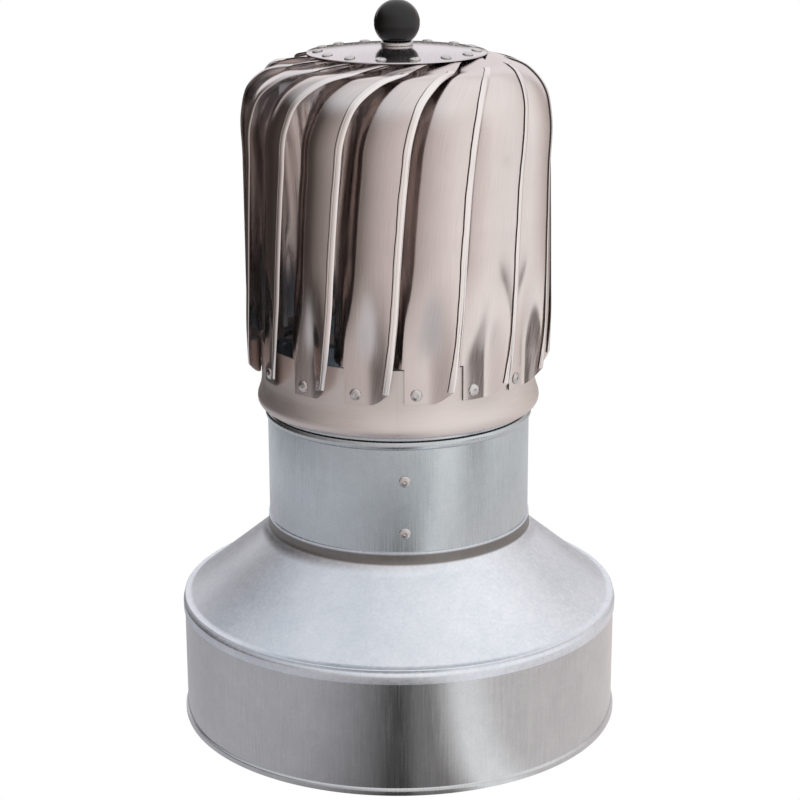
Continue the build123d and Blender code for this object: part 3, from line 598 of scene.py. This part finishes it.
def stations():
    """Each station's place along the vane, and its hem, inner edge, outward direction and bulge."""
    rows = station_rows()
    hem, inner, bulge = (np.array(column) for column in zip(*rows))
    middle = (hem + inner) / 2
    wall_count = len(WALL_HEIGHTS)
    along = np.gradient(hem + inner, axis=0)
    along[:wall_count] = (0, 0, 1)
    outward = np.cross(hem - inner, along)
    outward /= np.linalg.norm(outward, axis=1)[:, None]
    place = list(hem[:wall_count, 2])
    for i in range(wall_count, len(rows)):
        place.append(place[-1] + np.linalg.norm(middle[i] - middle[i - 1]))
    return np.array(place), np.column_stack([hem, inner, outward, bulge])


PLACE, TABLE = stations()
slopes = np.gradient(TABLE, PLACE, axis=0)
print("stations", len(PLACE), "length", round(PLACE[-1] - PLACE[0], 1), "mm")

# %% [markdown]
# ### Any point of the vane
# Between two stations a cubic curve takes both their values and slopes, so the surface has no kink at
# a station. Near the ring the sheet is then drawn in to the wall it is riveted to: a tab lies flat on
# the ring, and the rest opens out of it over 60 mm.

# %% Any point of the vane
TAB_START, TAB_END, TAB_FOLD, TAB_RISE = -21.6, -12.6, 4.0, 10.9  # degrees
TAB_SEAT = RING + 1.0  # radius of the tab's outer face
FOOT_BLEND = 60.0


def row_at(place):
    """Hem, inner edge, outward direction and bulge anywhere along the vane."""
    i = int(np.clip(np.searchsorted(PLACE, place) - 1, 0, len(PLACE) - 2))
    step = PLACE[i + 1] - PLACE[i]
    t = (place - PLACE[i]) / step
    mix = ((2 * t ** 3 - 3 * t ** 2 + 1) * TABLE[i] + (t ** 3 - 2 * t ** 2 + t) * step * slopes[i]
           + (3 * t ** 2 - 2 * t ** 3) * TABLE[i + 1] + (t ** 3 - t ** 2) * step * slopes[i + 1])
    return mix[:3], mix[3:6], mix[6:9] / np.linalg.norm(mix[6:9]), mix[9]


def smooth(value):
    """Nought to one with a soft start and end."""
    value = min(max(value, 0.0), 1.0)
    return value * value * (3 - 2 * value)


def lay_on_ring(point):
    """The foot of the vane is drawn in to the ring, where its tab is riveted."""
    radius, azimuth = radius_of(point), azimuth_of(point)
    hold = 1 - smooth((point[2] - RIM) / FOOT_BLEND)
    fold = smooth((azimuth - TAB_START) / TAB_FOLD + 1)
    rise = smooth((azimuth - TAB_END) / TAB_RISE)
    return at(radius + (TAB_SEAT - radius) * fold * (1 - rise) * hold, azimuth, point[2])


def vane_point(share, place):
    """A point of the sheet: the share runs from the inner edge to the hem."""
    hem, inner, outward, bulge = row_at(place)
    return lay_on_ring(inner + (hem - inner) * share + outward * (4 * bulge * share * (1 - share)))


print("middle of the wall", vane_point(0.5, 290).round(1))

# %% [markdown]
# ### Vane sheet
# The sheet is meshed as two grids that share one row at the ring's rim: the whole width above it, and
# the tab below it, whose lower edge sweeps up in a rounded corner to the hem. A solidify modifier could
# thicken it; doing it here keeps count of which faces are the cut edges, for their painted shade.

# %% Shape of the foot
VANE_WIDTH, HEM_INSET = 48.0, 0.3
EDGE_SHARE = 1 - HEM_INSET / VANE_WIDTH
TAB_FOOT, CORNER_TOP = 204.8, 219.5
CORNER_START, CORNER_REACH, CORNER_SWEEP = TAB_SEAT + SHEET, 11.5, 1.35


def share_at_tab(place):
    """The share across the vane at which the tab's straight side stands."""
    low, high = 0.0, 1.0
    for _ in range(30):
        middle = (low + high) / 2
        if azimuth_of(vane_point(middle, place)) < TAB_START:
            low = middle
        else:
            high = middle
    return low


def tab_share_at(portion, height):
    """The share at a height, for a portion of the way from the tab's straight side to the hem."""
    start = share_at_tab(height)
    return start + (EDGE_SHARE - start) * portion


def foot_height(radius):
    """The cut edge: level at the tab, then swept up in a rounded corner to the hem."""
    if radius <= CORNER_START:
        return TAB_FOOT
    sweep = ((radius - CORNER_START) / CORNER_REACH) ** CORNER_SWEEP
    return min(TAB_FOOT + (CORNER_TOP - TAB_FOOT) * sweep, CORNER_TOP)


tab_share = share_at_tab(RIM)
print("the tab starts", round(tab_share * VANE_WIDTH, 1), "mm from the vane's inner edge")

# %% Vane sheet
SIDE_COLUMNS, TAB_COLUMNS, TAB_ROWS = 12, 20, 12
WALL_GRID, TOP_GRID = 34, 40
left = list(np.linspace(0, tab_share, SIDE_COLUMNS)[:-1])
right = list(np.linspace(tab_share, EDGE_SHARE, TAB_COLUMNS))
columns = left + right
rises = np.concatenate([np.linspace(RIM, SHOULDER, WALL_GRID),
                        np.linspace(SHOULDER, PLACE[-1], TOP_GRID)[1:]])
sheet_points, sheet_uv, sheet_quads = [], [], []


def add_point(share, place):
    """Adds a point of the sheet with its place on the flat strip."""
    sheet_points.append(vane_point(share, place))
    sheet_uv.append((share * VANE_WIDTH * MM, place * MM))


for place in rises:
    for share in columns:
        add_point(share, place)
wide = len(columns)
for i in range(len(rises) - 1):
    for j in range(wide - 1):
        a = i * wide + j
        sheet_quads.append((a, a + 1, a + 1 + wide, a + wide))

tab_index = {}
for j, rim_share in enumerate(right):
    portion = (rim_share - tab_share) / (EDGE_SHARE - tab_share)
    low_edge = TAB_FOOT + 1.2
    for _ in range(8):  # settles on the height where the column meets the cut edge
        low_edge = foot_height(radius_of(vane_point(tab_share_at(portion, low_edge), low_edge)))
    for i in range(TAB_ROWS):
        height = low_edge + (RIM - low_edge) * i / TAB_ROWS
        tab_index[i, j] = len(sheet_points)
        add_point(tab_share_at(portion, height), height)
    tab_index[TAB_ROWS, j] = len(left) + j
hem_foot = low_edge
for i in range(TAB_ROWS):
    for j in range(len(right) - 1):
        sheet_quads.append((tab_index[i, j], tab_index[i, j + 1], tab_index[i + 1, j + 1],
                            tab_index[i + 1, j]))
print("sheet", len(sheet_quads), "faces, hem starts at", round(hem_foot, 1), "mm")

# %% Thickness of the sheet
def shell(points, quads, thickness):
    """Gives an open sheet its thickness on the far side of its normals, with every edge closed."""
    points = np.array(points)
    normals = np.zeros_like(points)
    for quad in quads:
        a, b, c, d = points[list(quad)]
        facing = np.cross(c - a, d - b)
        for i in quad:
            normals[i] += facing
    normals /= np.linalg.norm(normals, axis=1)[:, None]
    count = len(points)
    faces = list(quads) + [tuple(i + count for i in reversed(q)) for q in quads]
    edges = dict.fromkeys(edge for quad in quads for edge in zip(quad, quad[1:] + quad[:1]))
    faces += [(b, a, a + count, b + count) for a, b in edges if (b, a) not in edges]
    return np.vstack([points, points - normals * thickness]), faces


vane_verts, vane_faces = shell(sheet_points, sheet_quads, SHEET)
vane_uv = sheet_uv + sheet_uv
print("both sides and edges", len(vane_faces), "faces")

# %% [markdown]
# ### Hem
# The outer edge is folded back on itself as a 3.8 mm safe hem. The fold is soft and round on the
# outside and ends in a raw cut edge on the sheet; past the shoulder it is hammered flat and runs out.
# It is the brightest line of the rotor, so it is a section swept along the edge, with a slight waver
# where the folding bar was moved on.

# %% Hem
HEM_FADE, HAMMERED = 6.0, 0.12
HEM_END = float(PLACE[13]) + 1.5
# Across the hem from the edge, and out of the sheet: raw edge, outer face with a groove, fold, back.
HEM_SECTION = [(-4.3, -0.05), (-3.8, 0.52), (-3.6, 0.64), (-3.0, 0.7), (-2.75, 0.68), (-2.6, 0.6),
               (-2.45, 0.67), (-2.0, 0.64), (-1.4, 0.55), (-0.9, 0.4), (-0.5, 0.18), (-0.2, -0.06),
               (-0.03, -0.35), (-0.25, -0.62), (-0.8, -0.7), (-1.4, -0.66), (-1.5, -0.3)]
hem_places = np.concatenate([np.linspace(hem_foot + 0.1, SHOULDER, 46),
                             np.linspace(SHOULDER, HEM_END, 34)[1:]])
hem_verts, hem_faces, hem_uv, hem_step_faces = [], [], [], []
for place in hem_places:
    edge = vane_point(1.0, place)
    across = edge - vane_point(0.97, place)
    across /= np.linalg.norm(across)
    along = vane_point(1.0, place + 0.4) - vane_point(1.0, place - 0.4)
    out = np.cross(across, along)
    out /= np.linalg.norm(out)
    press = HAMMERED + (1 - HAMMERED) * smooth((HEM_END - place) / HEM_FADE)
    waver = 0.12 * math.sin(place * 0.21 + 1.3) + 0.06 * math.sin(place * 0.53)
    for inwards, proud in HEM_SECTION:
        lift = proud * press if proud > 0 else proud * (0.4 + 0.6 * press)
        slide = inwards + (waver if inwards < -3 else 0.0)
        hem_verts.append(edge + across * slide + out * lift)
        hem_uv.append(((VANE_WIDTH + inwards) * MM, place * MM))
count = len(HEM_SECTION)
for i in range(len(hem_places) - 1):
    a, b = i * count, (i + 1) * count
    hem_step_faces.append(len(hem_faces))
    for j in range(count):
        k = (j + 1) % count
        hem_faces.append((a + j, b + j, b + k, a + k))
hem_faces.append(tuple(range(count)))
hem_faces.append(tuple(reversed(range((len(hem_places) - 1) * count, len(hem_places) * count))))
print("hem", len(hem_faces), "faces, up to", round(HEM_END, 1), "mm along the vane")

# %% One vane
sheet_count, point_count = len(vane_faces), len(vane_verts)
all_verts = np.vstack([vane_verts, np.array(hem_verts)]) * MM
all_faces = vane_faces + [tuple(i + point_count for i in face) for face in hem_faces]
vane_mesh = sheet_mesh("vane", all_verts, all_faces, vane_uv + hem_uv, crease=40)
# The cut edges and the hem's step are marked for the painted shade.
edge_shade_faces = {*range(2 * len(sheet_quads), sheet_count), *(sheet_count + i for i in hem_step_faces)}
# The hem's faces are marked for the painted highlight.
hem_highlight_faces = set(range(sheet_count, len(all_faces)))
for name, marked in (("raw_edge", edge_shade_faces), ("burnished", hem_highlight_faces)):
    layer = vane_mesh.attributes.new(name, "FLOAT", "FACE")
    layer.data.foreach_set("value", [float(face in marked) for face in range(len(all_faces))])
print("vane", len(all_faces), "faces,", len(edge_shade_faces), "of them cut edges")

# %% [markdown]
# ## Copies round the axis
# Fifteen equal vanes and every ring of rivets stand round one axis. An array modifier can do that with
# a turned empty, and a loop can do it in code. One geometry-node tree does it for all of them, with
# its count and finish as named inputs: points at the axis, one instance of the part on each, turned
# by its share of a full turn. Realize Instances makes plain faces of the copies, which an export needs.

# %% Ring-of-copies tree
def ring_tree():
    """Part, Count and Finish in; the ring of copies out."""
    tree = bpy.data.node_groups.new("ring_of_copies", "GeometryNodeTree")
    sockets = tree.interface
    sockets.new_socket("Part", in_out="INPUT", socket_type="NodeSocketGeometry")
    sockets.new_socket("Count", in_out="INPUT", socket_type="NodeSocketInt")
    sockets.new_socket("Finish", in_out="INPUT", socket_type="NodeSocketMaterial")
    sockets.new_socket("Ring", in_out="OUTPUT", socket_type="NodeSocketGeometry")
    given = node(tree, "NodeGroupInput").outputs
    index = node(tree, "GeometryNodeInputIndex").outputs["Index"]
    step = node(tree, "ShaderNodeMath", 2 * math.pi, given["Count"], operation="DIVIDE")
    angle = node(tree, "ShaderNodeMath", index, step.outputs[0], operation="MULTIPLY")
    euler = node(tree, "ShaderNodeCombineXYZ", Z=angle.outputs[0])
    rotation = node(tree, "FunctionNodeEulerToRotation", Euler=euler.outputs[0])
    points = node(tree, "GeometryNodePoints", Count=given["Count"])
    copies = node(tree, "GeometryNodeInstanceOnPoints", Points=points.outputs[0],
                  Instance=given["Part"], Rotation=rotation.outputs[0])
    real = node(tree, "GeometryNodeRealizeInstances", Geometry=copies.outputs["Instances"])
    finished = node(tree, "GeometryNodeSetMaterial", Geometry=real.outputs[0], Material=given["Finish"])
    node(tree, "NodeGroupOutput", Ring=finished.outputs[0])
    return tree


copies_tree = ring_tree()
socket_of = {item.name: item.identifier for item in copies_tree.interface.items_tree}
print("ring_of_copies takes", ", ".join(name for name in socket_of if name != "Ring"))

# %% Ring of fifteen vanes
VANE_COUNT = 15


def ring_of(name, mesh, count, material, body, slot, *nodes):
    """Copies a mesh round the axis and keeps the result as one plain piece."""
    holder = into_scene(name + "_source", mesh)
    modifier = holder.modifiers.new("copies", "NODES")
    modifier.node_group = copies_tree
    modifier[socket_of["Count"]] = count
    modifier[socket_of["Finish"]] = material
    graph = bpy.context.evaluated_depsgraph_get()
    made = bpy.data.meshes.new_from_object(holder.evaluated_get(graph))
    bpy.data.objects.remove(holder)
    made.name = name
    made.set_sharp_from_angle(angle=math.radians(40))
    print(name, len(made.polygons), "faces")
    return on_body(name, made, body, slot, *nodes)


ring_of("vanes", vane_mesh, VANE_COUNT, vane_steel, "rotor", "stainless",
        *[f"blade_{i + 1:02d}" for i in range(VANE_COUNT)])

# %% [markdown]
# ## Rivets
# Blind rivets have a domed 6.5 mm head with the pulled mandrel's hole in its middle, and a swollen tail
# behind the sheet. The disc is held by solid rivets with a flatter head and no hole. Each is a small
# outline on the same lathe, stood out of its sheet by a matrix, and copied by the same tree.

# %% Rivet shapes
POP_HEAD = [(3.1, 0.02), (3.25, 0.15), (3.2, 0.4), (2.85, 0.72), (2.2, 1.0), (1.5, 1.14), (0.95, 1.18),
            (0.82, 1.08), (0.75, 0.6), (0.0, 0.5)]
FLAT_HEAD = [(2.9, 0.02), (3.0, 0.15), (2.95, 0.4), (2.5, 0.75), (1.7, 1.0), (0.8, 1.09), (0.0, 1.1)]
RIVET_STEPS = 28


def rivet_mesh(name, head, tail_low, places):
    """Rivets spun about their own axis; places are matrices with Z out of the sheet."""
    outline = [(0.0, tail_low - 1.5), (1.6, tail_low - 1.5), (2.3, tail_low - 1.2), (2.4, tail_low - 0.5),
               (2.2, tail_low), (1.55, tail_low), (1.55, 0.02), *head]
    spun, spun_faces, _ = weld(*spin(outline, RIVET_STEPS))
    verts, faces = [], []
    for place in places:
        start = len(verts)
        verts += [place @ Vector(v) for v in spun]
        faces += [tuple(i + start for i in face) for face in spun_faces]
    return sheet_mesh(name, verts, faces, crease=40)


def out_of_wall(radius, azimuth, height):
    """Z out of a round wall at an azimuth."""
    around_axis = Matrix.Rotation(math.radians(azimuth), 4, "Z")
    at_wall = Matrix.Translation((0, -radius * MM, height * MM))
    return around_axis @ at_wall @ Matrix.Rotation(math.pi / 2, 4, "X")


print("rivet heads", 2 * max(POP_HEAD)[0], "and", 2 * max(FLAT_HEAD)[0], "mm across")

# %% Rings of rivets
RING_RIVET_AZIMUTH, RING_RIVET_HEIGHT = -16.9, 210.0
STRAP_AZIMUTH, STRAP_RIVET_HEIGHTS, STRAP_COUNT = 2.65, (160.5, 130.7), 3
DISC_RIVET_CIRCLE, DISC_RIVET_AZIMUTH = 43.3, 36.8
on_tab = out_of_wall(TAB_SEAT + 0.02, RING_RIVET_AZIMUTH, RING_RIVET_HEIGHT)
ring_of("ring_rivet_heads", rivet_mesh("ring_rivet", POP_HEAD, -1.76, [on_tab]), VANE_COUNT, rivet_alloy,
        "rotor", "rivet", "ring_rivets")

on_neck = [out_of_wall(NECK + 0.02, STRAP_AZIMUTH, height) for height in STRAP_RIVET_HEIGHTS]
ring_of("strap_rivet_heads", rivet_mesh("strap_rivet", POP_HEAD, -3.4, on_neck), STRAP_COUNT, rivet_alloy,
        "base", "rivet", "bracket_rivets_1", "bracket_rivets_2", "bracket_rivets_3")

lean = Matrix.Rotation(math.asin(DISC_RIVET_CIRCLE / DOME), 4, "X")
on_dome = Matrix.Translation((0, -DISC_RIVET_CIRCLE * MM, (disc_top(DISC_RIVET_CIRCLE) + 0.02) * MM)) @ lean
on_disc = Matrix.Rotation(math.radians(DISC_RIVET_AZIMUTH), 4, "Z") @ on_dome
ring_of("disc_rivet_heads", rivet_mesh("disc_rivet", FLAT_HEAD, -1.95, [on_disc]), VANE_COUNT, rivet_alloy,
        "rotor", "rivet", "disc_rivets")

# %% [markdown]
# ## The hidden works
# The bracket, hub, bearings, shaft and fixings sit inside the neck and the rotor, and show only through
# the gaps between the vanes. Their measured shapes are true already, so they only need a finish, which
# is found by the first word that their name holds. What no word names is a zinc-plated fixing.

# %% Finishes on the measured pieces
BY_NAME = (("bracket_arm", zinc_strap), ("bearing_hub", turned_alloy), ("set_collar", turned_alloy),
           ("spacer_sleeve", turned_alloy), ("race", bearing_steel), ("balls", bearing_steel),
           ("shields", bearing_steel), ("cage", cage_plastic), ("blade", vane_steel),
           ("rivets", rivet_alloy), ("ring", ring_steel), ("disc", disc_steel), ("knob", knob_plastic))
for name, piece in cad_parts.items():
    metal = next((metal for word, metal in BY_NAME if word in name), zinc_plate)
    piece.data.materials.clear()
    piece.data.materials.append(metal)
print(len(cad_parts), "measured pieces finished")

# %% [markdown]
# ## Studio
# The ventilator stands on a white table in a white studio, and lamps and sky keep plain levels. What
# bright metal shows isn't the light on it but its surroundings, so those are given to mirror rays
# alone: a table that goes dark where the camera stands, and beyond it a room that is dark at the left
# and bright at the right. They could be real cards and walls; tones by bearing are easier to place,
# since each one lands on the metal that faces it. Walls mirror rays about 16 degrees downwards, on to
# the table: the base sees the nearest part of it, the neck the next and the vanes the room beyond.

# %% Surroundings seen in the metal
# Each stop is a bearing in degrees and a tone: nought is the front, positive is to the right.
TABLE_TONES = ((-180, "#c9c6cb"), (-110, "#bab8bd"), (-60, "#c2c0c5"), (-34, "#bab8bc"), (-21, "#a4a2a5"),
               (-13, "#8b898b"), (-6, "#6b6969"), (-3, "#4c4a4a"), (2, "#4a4848"), (5, "#7d7b7a"),
               (13, "#8a8785"), (18, "#cfcbcb"), (22, "#ffffff"), (29, "#ffffff"), (38, "#e0dad9"),
               (70, "#e2dbda"), (120, "#e6dfdd"), (180, "#c9c6cb"))
NECK_TONES = ((-180, "#d8dadd"), (-100, "#cdd0d4"), (-60, "#d9dbe0"), (-25, "#c6c9cd"), (0, "#c4c7ca"),
              (24, "#c9ccce"), (35, "#ffffff"), (44, "#ffffff"), (58, "#dcdddd"), (110, "#e2e1e1"),
              (180, "#d8dadd"))
ROOM_TONES = ((-180, "#665f5c"), (-150, "#3f3936"), (-120, "#39332f"), (-95, "#514a47"), (-72, "#8a827f"),
              (-46, "#b9b1ae"), (-22, "#d3cbc9"), (5, "#e9e2e0"), (30, "#fbf7f5"), (80, "#ffffff"),
              (105, "#efe9e7"), (135, "#c4bcb9"), (160, "#8d8582"), (180, "#665f5c"))


def bearing(tree, x, y):
    """Direction as an angle: nought is the front, positive turns to the right."""
    forwards = node(tree, "ShaderNodeMath", y, -1.0, operation="MULTIPLY").outputs[0]
    return node(tree, "ShaderNodeMath", x, forwards, operation="ARCTAN2").outputs[0]


def around(tree, angle, tones):
    """A colour by bearing."""
    share = node(tree, "ShaderNodeMapRange", angle, -math.pi, math.pi)
    ramp = node(tree, "ShaderNodeValToRGB", share.outputs[0])
    return fill_ramp(ramp, *[((degrees + 180) / 360, tone) for degrees, tone in tones])


print("tones round the table, the neck and the room:", len(TABLE_TONES), len(NECK_TONES), len(ROOM_TONES))

# %% [markdown]
# ### Table
# One plane. The camera sees it as plain white, and every other ray but a mirror ray meets an ordinary
# pale table that takes the shadow and throws some light back. Its underside is clear, so that the open
# foot can be looked into from below.

# %% Colour of the table by bearing and distance
TABLE_EDGE, NECK_EDGE = (0.38, 0.46), (0.60, 0.74)  # metres from the middle, each a soft step
STAND_BEARING, STAND_AWAY, STAND_TONE = (1.02, 1.30), (0.70, 1.08), "#675d5b"
white, tree, shader = finish("studio_table", "#f4f4f4", 0.0, 0.9)
place = node(tree, "ShaderNodeTexCoord").outputs["Object"]
parts = node(tree, "ShaderNodeSeparateXYZ", place)
away = node(tree, "ShaderNodeVectorMath", place, operation="LENGTH").outputs["Value"]
angle = bearing(tree, parts.outputs["X"], parts.outputs["Y"])
past_table = node(tree, "ShaderNodeMapRange", away, *TABLE_EDGE, interpolation_type="SMOOTHSTEP")
table = node(tree, "ShaderNodeMix", data_type="RGBA", Factor=past_table.outputs[0],
             A=around(tree, angle, TABLE_TONES), B=around(tree, angle, NECK_TONES))
stand = node(tree, "ShaderNodeMath", band(tree, angle, *STAND_BEARING, 0.09),
             band(tree, away, *STAND_AWAY, 0.12), operation="MULTIPLY")
room = node(tree, "ShaderNodeMix", data_type="RGBA", Factor=stand.outputs[0],
            A=around(tree, angle, ROOM_TONES), B=srgb(STAND_TONE))
past_neck = node(tree, "ShaderNodeMapRange", away, *NECK_EDGE, interpolation_type="SMOOTHSTEP")
surroundings = node(tree, "ShaderNodeMix", data_type="RGBA", Factor=past_neck.outputs[0],
                    A=table.outputs["Result"], B=room.outputs["Result"]).outputs["Result"]
print(len(tree.nodes), "nodes in the table's colour")

# %% Table
rays = node(tree, "ShaderNodeLightPath").outputs
mirrored = node(tree, "ShaderNodeEmission", Color=surroundings, Strength=1.0).outputs[0]
backdrop = node(tree, "ShaderNodeEmission", Color=srgb("#ffffff"), Strength=1.0).outputs[0]
lit = node(tree, "ShaderNodeMixShader", rays["Is Glossy Ray"], shader.outputs[0], mirrored).outputs[0]
above = node(tree, "ShaderNodeMixShader", rays["Is Camera Ray"], lit, backdrop).outputs[0]
underside = node(tree, "ShaderNodeNewGeometry").outputs["Backfacing"]
clear = node(tree, "ShaderNodeBsdfTransparent").outputs[0]
seen = node(tree, "ShaderNodeMixShader", underside, above, clear).outputs[0]
tree.links.new(seen, tree.nodes["Material Output"].inputs["Surface"])
floor_mesh = bpy.data.meshes.new("floor")
floor_mesh.from_pydata([(-4, -3, 0), (4, -3, 0), (4, 5, 0), (-4, 5, 0)], [], [(0, 1, 2, 3)])
floor_mesh.materials.append(white)
floor = into_scene("floor", floor_mesh)
print("table", [round(v, 1) for v in floor.dimensions], "m")

# %% [markdown]
# ### Sky
# The world is white to the camera. To every other ray it is the same room as on the table, with a
# brighter wall behind the ventilator and a ceiling, cool at the left. Its strength stays at one, so a
# colour renders about as it is written.

# %% Sky
world = bpy.data.worlds.new("studio")
world.use_nodes = True
bpy.context.scene.world = world
tree = world.node_tree
tree.nodes.clear()
rays = node(tree, "ShaderNodeLightPath").outputs
direction = node(tree, "ShaderNodeTexCoord").outputs["Generated"]
x, y, z = node(tree, "ShaderNodeSeparateXYZ", direction).outputs
towards_back = node(tree, "ShaderNodeMapRange", y, 0.6, 0.85, interpolation_type="SMOOTHSTEP")
over_table = node(tree, "ShaderNodeMapRange", z, 0.04, 0.14, interpolation_type="SMOOTHSTEP")
back_wall = node(tree, "ShaderNodeMath", towards_back.outputs[0], over_table.outputs[0],
                 operation="MULTIPLY")
walls = node(tree, "ShaderNodeMix", data_type="RGBA", Factor=back_wall.outputs[0],
             A=around(tree, bearing(tree, x, y), ROOM_TONES), B=srgb("#f6f1f4"))
rightwards = node(tree, "ShaderNodeMapRange", x, -0.75, 0.3, interpolation_type="SMOOTHSTEP")
ceiling = node(tree, "ShaderNodeMix", data_type="RGBA", Factor=rightwards.outputs[0],
               A=srgb("#dcdfe4"), B=srgb("#ffffff"))
upwards = node(tree, "ShaderNodeMapRange", z, 0.3, 0.85, interpolation_type="SMOOTHSTEP")
room = node(tree, "ShaderNodeMix", data_type="RGBA", Factor=upwards.outputs[0],
            A=walls.outputs["Result"], B=ceiling.outputs["Result"])
room_light = node(tree, "ShaderNodeBackground", Color=room.outputs["Result"], Strength=1.0).outputs[0]
plain_white = node(tree, "ShaderNodeBackground", Color=srgb("#ffffff"), Strength=1.0).outputs[0]
sky = node(tree, "ShaderNodeMixShader", rays["Is Camera Ray"], room_light, plain_white)
node(tree, "ShaderNodeOutputWorld", Surface=sky.outputs[0])
print(len(tree.nodes), "nodes in the sky")

# %% [markdown]
# ### Lamps
# A warm lamp from the right gives the form its light and shade, and a cool one overhead fills it. On
# metal an area lamp shows as a hard white card, so mirror rays don't see them and meet the surroundings
# instead.

# %% Lamps
def lamp(name, place, target, size, power, colour):
    """An area lamp that stands at a place and faces a target, all in metres and watts."""
    data = bpy.data.lights.new(name, "AREA")
    data.shape = "RECTANGLE"
    data.size, data.size_y = size
    data.energy = power
    data.color = srgb(colour)[:3]
    light = into_scene(name, data)
    light.location = place
    light.visible_glossy = False
    light.rotation_euler = (Vector(target) - Vector(place)).to_track_quat("-Z", "Y").to_euler()
    print(name, power, "W")
    return light


lamp("key_right", (1.3, -1.3, 1.1), (0, 0, 0.2), (0.5, 1.2), 14.0, "#fff6f2")
lamp("fill_top", (0.0, -0.3, 1.6), (0, 0, 0.3), (1.0, 1.0), 8.0, "#f6f4ff")

# %% [markdown]
# ## View transform
# The dressed model must not grow past the measured one: hems, rivets and seams all stay inside its
# box. The colours go out through the Standard view transform.

# %% View transform
scene = bpy.context.scene
scene.view_settings.view_transform = "Standard"
